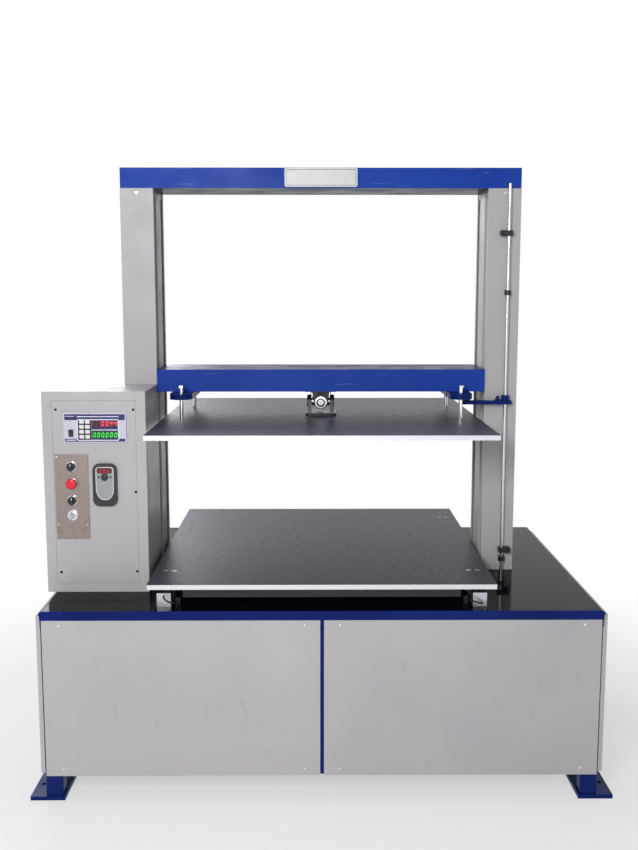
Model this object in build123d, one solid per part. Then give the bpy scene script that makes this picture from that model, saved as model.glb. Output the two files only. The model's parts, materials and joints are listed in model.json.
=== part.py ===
from build123d import *
from math import cos, pi, sin
import os

os.makedirs("parts", exist_ok=True)

# A floor-standing box compression tester, in millimetres, +Z up, front towards -Y.
# The origin is on the floor, under the middle of the whole machine.

# Platens and the load axis
platen_size = 1000.0
platen_thickness = 14.0
platen_edge = 1.5
load_y = 15.0
daylight = 415.0
joint_height = 85.0

# Base frame of square tube on foot plates
base_length = 1600.0
base_depth = 1000.0
base_height = 565.0
base_y = -10.0
tube = 50.0
tube_wall = 3.0
tube_corner = 9.0
floor_gap = 73.0
foot_length = 150.0
foot_width = 100.0
foot_thickness = 12.0
foot_proud = 5.0
foot_outboard = 44.0
anchor_radius = 7.0
anchor_inset = 20.0

# Sheet metal of the base
top_sheet = 3.0
front_skirt = 27.0
side_skirt = 13.0
top_edge_radius = 11.0
panel_sheet = 2.0
panel_margin = 4.5
panel_gap = 11.0
panel_clearance = 0.5
side_panel_proud = 12.0
side_panel_inset = 4.0
side_panel_lift = 7.0

# Pan head screws of the covers
screw_head_radius = 4.5
screw_head_top = 3.2
screw_head_height = 2.5
screw_recess = 1.6
screw_inset = 50.0
screw_drop = 14.0
screw_rise = 22.0

# Columns, shafts and screws
column_distance = 570.0
column_width = 102.0
column_depth = 212.0
column_height = 1212.0
cover_sheet = 2.0
cover_lip = 14.0
cover_seam = 1.0
strip_width = 88.0
strip_fold = 10.0
shaft_plate = 20.0
shaft_radius = 12.5
shaft_offset = 68.0
screw_radius = 16.0
screw_hole_gap = 4.0
journal_radius = 12.5
bearing_radius = 24.0
bearing_height = 18.0
flange_bearing_size = 106.0
flange_bearing_height = 30.0
running = 0.05
screw_end_gap = 15.0
bearer_offset = 55.0

# Top beam and crosshead
beam_inset = 1.0
beam_height = 62.0
beam_wall = 4.0
crosshead_gap = 2.0
crosshead_height = 70.0
crosshead_proud = 9.0
crosshead_proud_back = 8.0
crosshead_wall = 6.0
arm_width = 40.0
carriage_width = 76.0
carriage_depth = 188.0
carriage_height = 90.0
bush_radius = 20.0
bush_flange = 23.5
flange_height = 5.0
nut_radius = 24.0
nut_length = 50.0
nut_flange = 33.0
nut_flange_height = 10.0

# Lug plates of the crosshead and the guide bolts of the platen
lug_inset = 66.0
lug_width = 70.0
lug_thickness = 17.0
guide_offset = 172.0
guide_radius = 6.0
guide_hole = 8.0
guide_depth = 10.0
guide_free = 18.0
guide_flats = 19.0
guide_head = 7.0

# Universal joint between crosshead and platen
yoke_flange = 100.0
yoke_flange_thickness = 8.0
yoke_flange_corner = 12.0
yoke_bolt_offset = 38.0
yoke_bolt_radius = 4.0
yoke_bolt_flats = 13.0
yoke_bolt_head = 6.0
ear_gap = 60.0
ear_thickness = 12.0
ear_radius = 22.0
ear_root = 56.0
ear_root_height = 2.0
cup_radius = 16.0
cup_end = 3.0
ring_outer = 19.0
ring_inner = 13.5
ring_height = 2.5
trunnion_radius = 10.0
trunnion_gap = 1.0
hub_radius = 15.0
hub_gap = 2.0

# Trip rod with its collars, guides and arm
rod_outboard = 12.0
rod_front = 16.0
rod_radius = 5.0
rod_fit = 0.3
rod_hole_gap = 0.6
rod_head = 13.0
rod_foot = 38.0
rod_travel = 5.0
collar_radius = 10.0
upper_collar_drop = 328.0
upper_collar_height = 16.0
lower_collar_rise = 34.0
lower_collar_height = 16.0
inner_collar_drop = 32.0
inner_collar_radius = 12.0
inner_collar_height = 8.0
upper_guide_drop = 146.0
lower_guide_rise = 62.0
guide_block_height = 17.0
guide_block_front = 10.0
guide_block_reach = 26.0
guide_bolt_step = 17.0
trip_arm_thickness = 11.0
trip_arm_width = 28.0
trip_arm_drop = 11.0
trip_arm_overlap = 29.0
trip_bush_radius = 12.5
trip_bush_height = 17.0
trip_bolt_step = 24.0
trip_bolt_height = 15.0
trip_hole_fit = 0.6

# Load cells under the lower platen
cell_inset = 47.0
cell_width = 40.0
cell_height = 38.0
cell_length = 150.0
cell_pad = 2.0
cell_pad_length = 42.0
cell_spacer = 14.0
cell_spacer_length = 31.0
cell_screw_edge = 147.5
cell_screw_pitch = 26.0
cell_screw_radius = 4.0
cell_screw_head = 6.5
cell_screw_head_height = 8.0
cell_screw_sink = 1.0
cell_screw_rim = 1.0
cell_socket_flats = 6.5
cell_socket_depth = 4.0
cell_screw_inset = 15.5
cell_slot_radius = 11.0
cell_slot_pitch = 34.0
lead_radius = 2.5
arc_share = 0.48
gland_radius = 6.5
gland_rise = 6.0

# Stiffening bars under the lower platen
platen_bar_height = 30.0
platen_bar_width = 52.0
platen_bar_distance = 230.0
platen_bar_inset = 26.0
cross_bar_thickness = 12.0
cross_bar_gap = 33.0

# Control cabinet
cabinet_width = 304.0
cabinet_depth = 232.0
cabinet_height = 605.0
cabinet_overlap = 1.0
cabinet_gap = 3.0
cabinet_sheet = 2.0
rim_side = 28.5
rim_foot = 28.0
rim_head = 26.0
door_gap = 1.5
door_ledge = 12.0

# Load indicator in the door
indicator_shift = 3.5
indicator_rise = 499.0
indicator_width = 184.0
indicator_height = 89.0
indicator_proud = 6.0
indicator_corner = 4.0
case_width = 176.0
case_height = 81.0
case_depth = 90.0
key_width = 13.6
key_height = 10.6
key_proud = 1.8
key_root = 2.0
key_corner = 2.0
key_travel = 1.0
key_column_shift = -38.3
key_column_pitch = 17.1
key_row_rise = 17.6
key_row_pitch = 14.7
key_fit = 0.4
rocker_shift = -70.5
rocker_rise = -16.2
rocker_width = 13.5
rocker_height = 20.5
rocker_pivot_depth = 1.0
rocker_end = 4.0
rocker_middle = 2.2
rocker_tilt = 8.0
rocker_well = 12.0
window_shift = 31.0
window_rise = -5.0
window_width = 81.0
window_height = 66.0
window_recess = 1.5

# Stainless plate with four operators
plate_shift = -69.5
plate_width = 100.0
plate_rise = 163.0
plate_height = 256.0
plate_sheet = 1.2
plate_step = 36.0
plate_step_inset = 3.0
upper_selector_rise = 220.4
stop_button_rise = 169.6
lower_selector_rise = 118.6
key_switch_rise = 73.3
operator_collar = 15.0
operator_collar_height = 4.0
operator_barrel = 11.0
operator_block = 28.0
operator_block_depth = 34.0
spindle_radius = 8.0
spindle_fit = 0.3
spindle_depth = 14.0
knob_radius = 13.0
knob_height = 13.0
grip_width = 8.0
mushroom_radius = 16.0
mushroom_height = 11.0
button_travel = 5.0
button_gap = 1.0
mushroom_dome = 6.6
key_plug_height = 5.0
key_plug_radius = 11.0
key_bow_radius = 9.0
key_bow_width = 3.0
key_bow_height = 20.0
key_bow_length = 16.0

# Drive keypad in the door
keypad_shift = 29.0
keypad_rise = 328.0
keypad_width = 72.0
keypad_height = 128.0
keypad_proud = 9.0
keypad_corner = 20.0
keypad_back_width = 64.0
keypad_back_height = 116.0
keypad_back_depth = 110.0
keypad_knob_rise = 24.0
keypad_knob_radius = 8.0
keypad_knob_height = 7.0
keypad_knob_depth = 5.0
keypad_notch = 1.6

# Drive inside the base
belt_drop = 227.5
belt_width = 25.0
belt_thickness = 5.0
belt_clearance = 0.3
pulley_radius = 60.0
pulley_teeth = 24
motor_pulley_radius = 40.0
motor_pulley_teeth = 16
pulley_flange = 4.0
pulley_flange_height = 2.0
pulley_side_gap = 0.5
tooth_root = 0.6
tooth_tip = 0.4
tooth_depth = 3.0
motor_back = 165.0
gearbox_width = 140.0
gearbox_depth = 120.0
gearbox_height = 95.0
gearbox_flange = 14.0
gearbox_flange_width = 210.0
gearbox_edge = 12.0
motor_bearer_x = 75.0
motor_radius = 58.0
motor_length = 180.0
motor_neck_radius = 68.0
motor_neck = 10.0
motor_cap_radius = 62.0
motor_cap_length = 45.0
shaft_pocket = 8.0

# Limit switches under the trip rod
switch_width = 34.0
switch_depth = 36.0
switch_height = 38.0
switch_tab = 4.0
switch_tab_height = 36.0
plunger_radius = 3.0
plunger_gap = 0.5
upper_switch_width = 12.0
upper_switch_depth = 20.0
upper_plunger_radius = 2.0
upper_plunger_height = 2.5
upper_plunger_inset = 3.5

# Heights and places that follow from the sizes above
frame_top = base_height - top_sheet
lower_platen_z = base_height + cell_pad + cell_height + cell_spacer
lower_platen_top = lower_platen_z + platen_thickness
upper_platen_z = lower_platen_top + daylight
upper_platen_top = upper_platen_z + platen_thickness
crosshead_z = upper_platen_top + joint_height
crosshead_top = crosshead_z + crosshead_height
column_top = base_height + column_height
joint_z = upper_platen_top + joint_height / 2
base_front = base_y - base_depth / 2
base_back = base_y + base_depth / 2
base_side = base_length / 2
column_front = load_y - column_depth / 2
column_inner = column_distance - column_width / 2
column_outer = column_distance + column_width / 2
rod_y = column_front - rod_front
top_rail_z = frame_top - tube
cabinet_back = column_front - cabinet_gap
cabinet_front = cabinet_back - cabinet_depth
cabinet_x = cabinet_overlap - column_inner - cabinet_width / 2
beam_length = 2 * (column_outer - beam_inset)
crosshead_length = 2 * (column_inner - crosshead_gap)
crosshead_front = column_front - crosshead_proud
crosshead_depth = column_depth + crosshead_proud + crosshead_proud_back
lug_distance = platen_size / 2 - lug_inset
rod_x = column_distance + rod_outboard
rod_top = column_top + rod_head
rod_bottom = base_height - rod_foot
upper_collar_z = column_top - upper_collar_drop
lower_collar_z = base_height + lower_collar_rise
inner_collar_z = base_height - inner_collar_drop
upper_guide_z = column_top - upper_guide_drop
lower_guide_z = base_height + lower_guide_rise
cell_distance = platen_size / 2 - cell_inset
cell_screw_offset = platen_size / 2 - cell_screw_edge
cross_bar_reach = cell_distance - cell_width / 2 - cross_bar_gap
indicator_x = cabinet_x + indicator_shift
indicator_z = base_height + indicator_rise
key_column_x = indicator_x + key_column_shift
key_row_z = indicator_z + key_row_rise
rocker_x = indicator_x + rocker_shift
rocker_z = indicator_z + rocker_rise
window_x = indicator_x + window_shift
window_z = indicator_z + window_rise
plate_x = cabinet_x + plate_shift
plate_z = base_height + plate_rise
plate_step_z = plate_z + plate_step
upper_selector_z = plate_z + upper_selector_rise
stop_button_z = plate_z + stop_button_rise
lower_selector_z = plate_z + lower_selector_rise
key_switch_z = plate_z + key_switch_rise
keypad_x = cabinet_x + keypad_shift
keypad_z = base_height + keypad_rise
keypad_knob_z = keypad_z + keypad_knob_rise
belt_z = base_height - belt_drop
motor_y = load_y + motor_back
sides = (-1, 1)


def block(x, y, z):
    """A box between two limits on each axis."""
    middle = [(low + high) / 2 for low, high in (x, y, z)]
    return Pos(*middle) * Box(x[1] - x[0], y[1] - y[0], z[1] - z[0])


def about(middle, width):
    """The two limits of a width about its middle."""
    return middle - width / 2, middle + width / 2


def limits(a, b):
    """Two limits in rising order."""
    return min(a, b), max(a, b)


def disc(x, y, z0, z1, radius):
    """An upright cylinder."""
    return Pos(x, y, (z0 + z1) / 2) * Cylinder(radius, z1 - z0)


def disc_x(y, z, x0, x1, radius):
    """A cylinder along X."""
    return Pos((x0 + x1) / 2, y, z) * Rot(0, 90, 0) * Cylinder(radius, x1 - x0)


def disc_y(x, z, y0, y1, radius):
    """A cylinder along Y."""
    return Pos(x, (y0 + y1) / 2, z) * Rot(90, 0, 0) * Cylinder(radius, y1 - y0)


def front_slab(x, z, y0, y1, width, height, corner):
    """A plate that faces the front, with rounded corners."""
    sketch = RectangleRounded(width, height, corner)
    return extrude(Plane((x, y1, z), x_dir=(1, 0, 0), z_dir=(0, -1, 0)) * sketch, y1 - y0)


def square_tube(length):
    """A hollow square tube along +Z, from the origin."""
    bore = tube - 2 * tube_wall
    return extrude(RectangleRounded(tube, tube, tube_corner) - Rectangle(bore, bore), length)


def tube_along_x(y, z, x0, x1):
    return Pos(x0, y, z) * Rot(0, 90, 0) * square_tube(x1 - x0)


def tube_along_y(x, z, y0, y1):
    return Pos(x, y0, z) * Rot(-90, 0, 0) * square_tube(y1 - y0)


def tube_along_z(x, y, z0, z1):
    return Pos(x, y, z0) * square_tube(z1 - z0)


def hexagon(flats, height):
    """A hexagon prism on the XY plane, given by its width across flats."""
    return extrude(RegularPolygon(flats / 2, 6, major_radius=False), height)


def mirrored(shape):
    """The same piece on the other side of the machine."""
    return mirror(shape, Plane.YZ)


def save(node, pieces):
    """Write a node with each of its pieces as a separate solid."""
    solids = [body for piece in pieces for body in piece.solids()]
    export_step(Compound(solids) if len(solids) > 1 else solids[0], f"parts/{node}.step")


# Base

def foot_plates():
    """Four plates, each with an anchor hole outboard of its post."""
    outer = base_side + foot_outboard
    x = (outer - foot_width, outer)
    front = base_front - foot_proud
    plates = []
    for y0 in (front, base_back + foot_proud - foot_length):
        plate = block(x, (y0, y0 + foot_length), (0, foot_thickness))
        plate -= disc(outer - anchor_inset, y0 + foot_length / 2, 0, foot_thickness, anchor_radius)
        plates += [plate, mirrored(plate)]
    return plates


def posts():
    """Corner posts on the foot plates, and a middle post front and back."""
    half = tube / 2
    tubes = []
    for y in (base_front + half, base_back - half):
        for x in (half - base_side, base_side - half):
            tubes.append(tube_along_z(x, y, foot_thickness, top_rail_z))
        tubes.append(tube_along_z(0, y, floor_gap + tube, top_rail_z))
    return tubes


def rails():
    """Bottom rails, the top ring and the bearers that cross it."""
    half = tube / 2
    upper = top_rail_z + half
    lower = floor_gap + half
    inner_x = base_side - tube
    inner_y = (base_front + tube, base_back - tube)
    tubes = []
    for y in (base_front + half, base_back - half):
        tubes.append(tube_along_x(y, upper, -inner_x, inner_x))
        tubes.append(tube_along_x(y, lower, -inner_x, inner_x))
    for x in (half - base_side, base_side - half):
        tubes.append(tube_along_y(x, upper, base_front, base_back))
        tubes.append(tube_along_y(x, lower, *inner_y))
    bearers = [motor_bearer_x] + [column_distance + side * bearer_offset for side in sides]
    for x in bearers:
        tubes += [tube_along_y(side * x, upper, *inner_y) for side in sides]
    return tubes


def base_frame():
    """The welded frame of square tube."""
    return posts() + rails()


def side_edges(shape):
    """The two long top edges at the left and right of the base top."""
    edges = shape.edges().filter_by(Axis.Y).group_by(Axis.Z)[-1]
    return [edges.sort_by(Axis.X)[0], edges.sort_by(Axis.X)[-1]]


def base_top():
    """The top sheet, folded down at the front and back and rolled over at the sides."""
    x = base_side + top_sheet
    y = (base_front - top_sheet, base_back + top_sheet)
    outer = block((-x, x), y, (base_height - front_skirt, base_height))
    outer = fillet(side_edges(outer), top_edge_radius)
    inside = block((-base_side, base_side), (base_front, base_back),
                   (base_height - front_skirt, frame_top))
    inside = fillet(side_edges(inside), top_edge_radius - top_sheet)
    sheet = outer - inside
    for side in sides:
        sheet -= block(limits(side * base_side, side * (x + top_sheet)), y,
                       (base_height - front_skirt, base_height - side_skirt))
        screw_x = side * column_distance
        sheet -= disc(screw_x, load_y, frame_top, base_height, screw_radius + screw_hole_gap)
    sheet -= disc(rod_x, rod_y, frame_top, base_height, rod_radius + rod_hole_gap)
    return [sheet]


def base_panels():
    """Four flat panels, two side by side over the front of the frame and two over the back."""
    x = (panel_gap / 2, base_side - panel_margin)
    z = (floor_gap, base_height - front_skirt - panel_clearance)
    panels = []
    for y in ((base_front - panel_sheet, base_front), (base_back, base_back + panel_sheet)):
        panel = block(x, y, z)
        panels += [mirrored(panel), panel]
    return panels


def side_panels():
    """Shallow trays that stand proud of the frame's sides."""
    x = (base_side, base_side + side_panel_proud)
    y = (base_front + side_panel_inset, base_back - side_panel_inset)
    z = (floor_gap + side_panel_lift, base_height - side_skirt - panel_clearance)
    tray = block(x, y, z)
    tray -= block((x[0], x[1] - panel_sheet), (y[0] + panel_sheet, y[1] - panel_sheet),
                  (z[0] + panel_sheet, z[1] - panel_sheet))
    return [mirrored(tray), tray]


def pan_head(x, y, z, turn):
    """A screw head on a wall; turn swings it from the front to another side."""
    head = Cone(screw_head_radius, screw_head_top, screw_head_height)
    head -= Pos(0, 0, screw_head_height / 2) * Box(screw_recess, screw_recess, screw_recess)
    lift = Pos(0, 0, screw_head_height / 2)
    return Pos(x, y, z) * Rot(0, 0, turn) * Rot(90, 0, 0) * lift * head


def cover_screws():
    """Screws of the base panels and the column covers."""
    low = floor_gap + screw_rise
    high = base_height - front_skirt - screw_drop
    heads = []
    for side in sides:
        for x in (screw_inset, base_side - screw_inset - panel_margin):
            for z in (low, high):
                heads.append(pan_head(side * x, base_front - panel_sheet, z, 0))
                heads.append(pan_head(side * x, base_back + panel_sheet, z, 180))
        x = side * column_distance
        for z in (base_height + screw_drop, column_top - screw_drop):
            heads.append(pan_head(x, column_front, z, 0))
            heads.append(pan_head(x, column_front + column_depth, z, 180))
    return heads


# Columns

def column_covers():
    """Folded covers, one on the front and one on the back of each column."""
    z = (base_height, column_top)
    split = load_y - cover_seam / 2
    outer = block((column_inner, column_outer), (column_front, split), z)
    hollow = block((column_inner + cover_sheet, column_outer - cover_sheet),
                   (column_front + cover_sheet, split), z)
    mouth = block((column_inner, column_inner + cover_sheet), (column_front + cover_lip, split), z)
    front = outer - hollow - mouth
    back = mirror(front, Plane.XZ.offset(-load_y))
    return [front, back, mirrored(front), mirrored(back)]


def screw_covers():
    """The folded strip that hides each lead screw between the two slots."""
    z = (base_height + shaft_plate, column_top - shaft_plate)
    y = about(load_y, strip_width)
    strip = block((column_inner, column_inner + strip_fold), y, z)
    strip -= block((column_inner + cover_sheet, column_inner + strip_fold),
                   (y[0] + cover_sheet, y[1] - cover_sheet), z)
    return [mirrored(strip), strip]


def shaft_plates():
    """Thick plates at the foot and head of each column that hold its two shafts."""
    x = (column_inner + cover_sheet, column_outer - cover_sheet)
    y = about(load_y, column_depth - 2 * cover_sheet)
    plates = []
    for z0, centre in ((base_height, screw_radius + screw_hole_gap),
                       (column_top - shaft_plate, bearing_radius)):
        z1 = z0 + shaft_plate
        plate = block(x, y, (z0, z1)) - disc(column_distance, load_y, z0, z1, centre)
        for side in sides:
            bore_y = load_y + side * shaft_offset
            plate -= disc(column_distance, bore_y, z0, z1, shaft_radius + running)
        plates += [plate, mirrored(plate)]
    return plates


def guide_shafts():
    """Two ground shafts in each column."""
    return [disc(side_x * column_distance, load_y + side_y * shaft_offset,
                 base_height, column_top, shaft_radius)
            for side_x in sides for side_y in sides]


def screw_bearings():
    """A flanged bearing under each screw and a ring bearing at its head."""
    x, y = column_distance, load_y
    low = block(about(x, flange_bearing_size), about(y, flange_bearing_size),
                (top_rail_z - flange_bearing_height, top_rail_z))
    low = fillet(low.edges().filter_by(Axis.Z), tube_corner)
    low -= disc(x, y, top_rail_z - flange_bearing_height, top_rail_z, journal_radius + running)
    z1 = column_top - (shaft_plate - bearing_height) / 2
    ring = disc(x, y, z1 - bearing_height, z1, bearing_radius)
    ring -= disc(x, y, z1 - bearing_height, z1, journal_radius + running)
    return [low, mirrored(low), ring, mirrored(ring)]


def hollow_beam(x, y, z, wall):
    """A closed box beam of welded plate."""
    inside = block((x[0] + wall, x[1] - wall), (y[0] + wall, y[1] - wall), (z[0] + wall, z[1] - wall))
    return block(x, y, z) - inside


def top_beam():
    return [hollow_beam(about(0, beam_length), about(load_y, column_depth),
                        (column_top, column_top + beam_height), beam_wall)]


# Crosshead

def crosshead_beam():
    return [hollow_beam(about(0, crosshead_length),
                        (crosshead_front, crosshead_front + crosshead_depth),
                        (crosshead_z, crosshead_top), crosshead_wall)]


def crosshead_lugs():
    """Round-ended plates under the crosshead, with holes for the guide bolts."""
    z = (crosshead_z - lug_thickness, crosshead_z)
    half = lug_width / 2
    plate = block(about(lug_distance, lug_width), about(load_y, 2 * guide_offset), z)
    for side in sides:
        plate += disc(lug_distance, load_y + side * guide_offset, *z, half)
    for side in sides:
        plate -= disc(lug_distance, load_y + side * guide_offset, *z, guide_hole)
    return [mirrored(plate), plate]


def carriages():
    """A block round the shafts and the screw of each column, with two arms to the crosshead."""
    middle = (crosshead_z + crosshead_top) / 2
    z = about(middle, carriage_height)
    body = block(about(column_distance, carriage_width), about(load_y, carriage_depth), z)
    reach = (crosshead_length / 2, column_distance)
    for side in sides:
        arm_y = load_y + side * shaft_offset
        body += block(reach, about(arm_y, arm_width), (crosshead_z, crosshead_top))
    body -= disc(column_distance, load_y, *z, nut_radius)
    for side in sides:
        body -= disc(column_distance, load_y + side * shaft_offset, *z, bush_radius)
    return [mirrored(body), body]


def linear_bushes():
    """A flanged bush round each shaft, through the carriage."""
    z0, z1 = about((crosshead_z + crosshead_top) / 2, carriage_height)
    bushes = []
    for side in sides:
        y = load_y + side * shaft_offset
        bush = disc(column_distance, y, z0, z1, bush_radius)
        bush += disc(column_distance, y, z0 - flange_height, z0, bush_flange)
        bush -= disc(column_distance, y, z0 - flange_height, z1, shaft_radius + running)
        bushes += [bush, mirrored(bush)]
    return bushes


def screw_nuts():
    """A flanged bronze nut on each lead screw."""
    z0 = (crosshead_z + crosshead_top) / 2 - carriage_height / 2
    nut = disc(column_distance, load_y, z0, z0 + nut_length, nut_radius)
    nut += disc(column_distance, load_y, z0 - nut_flange_height, z0, nut_flange)
    nut -= disc(column_distance, load_y, z0 - nut_flange_height, z0 + nut_length,
                screw_radius + running)
    return [mirrored(nut), nut]


def trip_arm():
    """The bar from the right lug plate to the trip rod, with its bush and bolt."""
    lug_edge = lug_distance + lug_width / 2
    lug_under = crosshead_z - lug_thickness
    z1 = lug_under - trip_arm_drop
    z0 = z1 - trip_arm_thickness
    y = about(rod_y, trip_arm_width)
    x0 = lug_edge - trip_arm_overlap
    half = trip_arm_width / 2
    arm = block((x0, rod_x + half / 2), y, (z0, z1))
    arm += disc(rod_x + half / 2, rod_y, z0, z1, half)
    arm += block((x0, lug_edge), y, (z1, lug_under))
    arm += disc(rod_x, rod_y, z1, z1 + trip_bush_height, trip_bush_radius)
    arm -= disc(rod_x, rod_y, z0, z1 + trip_bush_height, rod_radius + trip_hole_fit)
    bolt = Pos(rod_x - trip_bolt_step, rod_y, z1) * hexagon(yoke_bolt_flats, yoke_bolt_head)
    bolt += disc(rod_x - trip_bolt_step, rod_y, z1 + yoke_bolt_head, z1 + trip_bolt_height,
                 yoke_bolt_radius)
    return [arm, bolt]


# Universal joint

def ear_profile():
    """Outline of a yoke ear: a round eye under a wider root."""
    root = joint_height / 2 - yoke_flange_thickness
    eye = Circle(ear_radius)
    foot = Pos(0, root - ear_root_height / 2) * Rectangle(ear_root, ear_root_height)
    return make_hull(eye.edges() + foot.edges())


def yoke():
    """A square flange with two ears below it, in the joint's own frame, ears front and back."""
    top = joint_height / 2
    shape = extrude(Plane.XY.offset(top - yoke_flange_thickness)
                    * RectangleRounded(yoke_flange, yoke_flange, yoke_flange_corner),
                    yoke_flange_thickness)
    for side in sides:
        plane = Plane((0, side * ear_gap / 2, 0), x_dir=(1, 0, 0), z_dir=(0, -1, 0))
        shape += extrude(plane * ear_profile(), -side * ear_thickness)
    for side in sides:
        y0, y1 = limits(side * ear_gap / 2, side * (ear_gap / 2 + ear_thickness))
        shape -= disc_y(0, 0, y0, y1, cup_radius)
        for other in sides:
            shape -= disc(side * yoke_bolt_offset, other * yoke_bolt_offset,
                          top - yoke_flange_thickness, top, yoke_bolt_radius)
    return shape


def cups():
    """The two bearing cups of a yoke with their retaining rings, in the joint's own frame."""
    outer = ear_gap / 2 + ear_thickness
    cup = disc_y(0, 0, -outer, -ear_gap / 2, cup_radius)
    cup -= disc_y(0, 0, cup_end - outer, -ear_gap / 2, trunnion_radius + running)
    ring = disc_y(0, 0, -outer - ring_height, -outer, ring_outer)
    ring -= disc_y(0, 0, -outer - ring_height, -outer, ring_inner)
    nipple = disc_y(0, 0, -outer - ring_height / 2, -outer, ring_height)
    cup = cup + ring + nipple
    return [cup, mirror(cup, Plane.XZ)]


def yoke_screws():
    """Hexagon bolts under a yoke's flange, in the joint's own frame."""
    top = joint_height / 2
    seat = top - yoke_flange_thickness
    bolts = []
    for x in (-yoke_bolt_offset, yoke_bolt_offset):
        for y in (-yoke_bolt_offset, yoke_bolt_offset):
            bolt = Pos(x, y, seat - yoke_bolt_head) * hexagon(yoke_bolt_flats, yoke_bolt_head)
            bolts.append(bolt + disc(x, y, seat, top, yoke_bolt_radius))
    return bolts


def upper_place(shape):
    return Pos(0, load_y, joint_z) * shape


def lower_place(shape):
    """Turn an upper piece over and a quarter round, for the platen's side of the joint."""
    return Pos(0, load_y, joint_z) * Rot(180, 0, 90) * shape


def upper_yoke():
    return [upper_place(yoke())]


def bearing_cups():
    return [upper_place(cup) for cup in cups()]


def yoke_bolts():
    return [upper_place(bolt) for bolt in yoke_screws()]


def joint_cross():
    """A hub with four trunnions that turn in the cups."""
    reach = ear_gap / 2 + ear_thickness - cup_end - trunnion_gap
    hub = ear_gap / 2 - hub_gap
    cross = disc_x(0, 0, -reach, reach, trunnion_radius) + disc_y(0, 0, -reach, reach, trunnion_radius)
    cross += disc_x(0, 0, -hub, hub, hub_radius) + disc_y(0, 0, -hub, hub, hub_radius)
    return [upper_place(cross)]


def lower_yoke():
    return [lower_place(piece) for piece in [yoke()] + cups()]


# Platens

def upper_platen():
    """The loading plate, with blind holes for the guide bolts."""
    z = (upper_platen_z, upper_platen_top)
    plate = block(about(0, platen_size), about(load_y, platen_size), z)
    plate = chamfer(plate.edges().filter_by(Axis.Z), platen_edge)
    for x in (-lug_distance, lug_distance):
        for side in sides:
            plate -= disc(x, load_y + side * guide_offset, z[1] - guide_depth, z[1], guide_radius)
    return [plate]


def platen_bolts():
    """Four guide bolts through the lug plates and four bolts of the lower yoke."""
    head_z = crosshead_z + guide_free
    bolts = []
    for x in (-lug_distance, lug_distance):
        for side in sides:
            y = load_y + side * guide_offset
            bolt = disc(x, y, upper_platen_top - guide_depth, head_z, guide_radius)
            bolts.append(bolt + Pos(x, y, head_z) * hexagon(guide_flats, guide_head))
    return bolts + [lower_place(bolt) for bolt in yoke_screws()]


def cell_screw_places():
    """Middle of each socket screw that holds the lower platen on its load cells."""
    return [(side_x * cell_distance + step * cell_screw_pitch / 2, load_y + side_y * cell_screw_offset)
            for side_x in sides for side_y in sides for step in sides]


def cell_screw_seat():
    """Height of the counterbores' floor in the lower platen."""
    return lower_platen_top - cell_screw_head_height - cell_screw_sink


def lower_platen():
    """The plate that carries the box, counterbored over the load cells."""
    z = (lower_platen_z, lower_platen_top)
    plate = block(about(0, platen_size), about(load_y, platen_size), z)
    plate = chamfer(plate.edges().filter_by(Axis.Z), platen_edge)
    for x, y in cell_screw_places():
        plate -= disc(x, y, *z, cell_screw_radius)
        plate -= disc(x, y, cell_screw_seat(), z[1], cell_screw_head + cell_screw_rim)
    return [plate]


def platen_screws():
    """Socket screws sunk in the lower platen, down to the load cells."""
    seat = cell_screw_seat()
    top = seat + cell_screw_head_height
    screws = []
    for x, y in cell_screw_places():
        screw = disc(x, y, seat, top, cell_screw_head)
        screw += disc(x, y, lower_platen_z, seat, cell_screw_radius)
        socket = Pos(x, y, top - cell_socket_depth) * hexagon(cell_socket_flats, cell_socket_depth)
        screws.append(screw - socket)
    return screws


def platen_bearers():
    """Bars that stiffen the lower platen: two front to back, and a rail across each end."""
    z = (lower_platen_z - platen_bar_height, lower_platen_z)
    y0 = load_y - platen_size / 2 + platen_bar_inset
    y1 = load_y + platen_size / 2 - platen_bar_inset
    bars = []
    for side in sides:
        bars.append(block(about(side * platen_bar_distance, platen_bar_width), (y0, y1), z))
    inner = platen_bar_distance - platen_bar_width / 2
    outer = platen_bar_distance + platen_bar_width / 2
    for y in ((y0, y0 + cross_bar_thickness), (y1 - cross_bar_thickness, y1)):
        bars.append(block((-inner, inner), y, z))
        bars += [block(limits(side * outer, side * cross_bar_reach), y, z) for side in sides]
    return bars


# Load cells

def with_rear(pieces):
    """Pieces of the front load cells, and the same pieces at the rear cells."""
    return pieces + [Pos(0, 2 * cell_screw_offset, 0) * piece for piece in pieces]


def front_cell_y():
    """Front and back limits of a front load cell."""
    back = load_y - cell_screw_offset + cell_screw_inset
    return back - cell_length, back


def load_cells():
    """Beam cells with a spectacle cut-out, each fixed at its front and loaded at its back."""
    z0 = base_height + cell_pad
    z1 = z0 + cell_height
    y = front_cell_y()
    x = about(cell_distance, cell_width)
    cell = block(x, y, (z0, z1))
    middle_y, middle_z = sum(y) / 2, (z0 + z1) / 2
    for side in sides:
        cell -= disc_x(middle_y + side * cell_slot_pitch / 2, middle_z, *x, cell_slot_radius)
    cell -= block(x, about(middle_y, cell_slot_pitch), about(middle_z, cell_slot_radius))
    pad = block(x, (y[0], y[0] + cell_pad_length), (base_height, z0))
    spacer = block(x, (y[1] - cell_spacer_length, y[1]), (z1, lower_platen_z))
    pieces = []
    for piece in (cell, pad, spacer):
        pieces += [piece, mirrored(piece)]
    return with_rear(pieces)


# Route of the lead from the end of a left and a right load cell to its gland, as steps inward,
# forward and up from the middle of the cell's end at the height of the base top.
left_lead_route = [(0, 0, 32), (0, 13, 32), (8, 23, 27), (20, 26, 21), (31, 18, 16.5),
                   (36, 5, 14), (36.5, -9, 13), (36.5, -23, 13)]
right_lead_route = [(-6, 0, 13), (-6, 13, 13), (2, 23, 16.5), (14, 26, 21), (26, 19, 23),
                    (34, 7, 21), (36.5, -7, 17), (36.5, -21, 17)]


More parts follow.
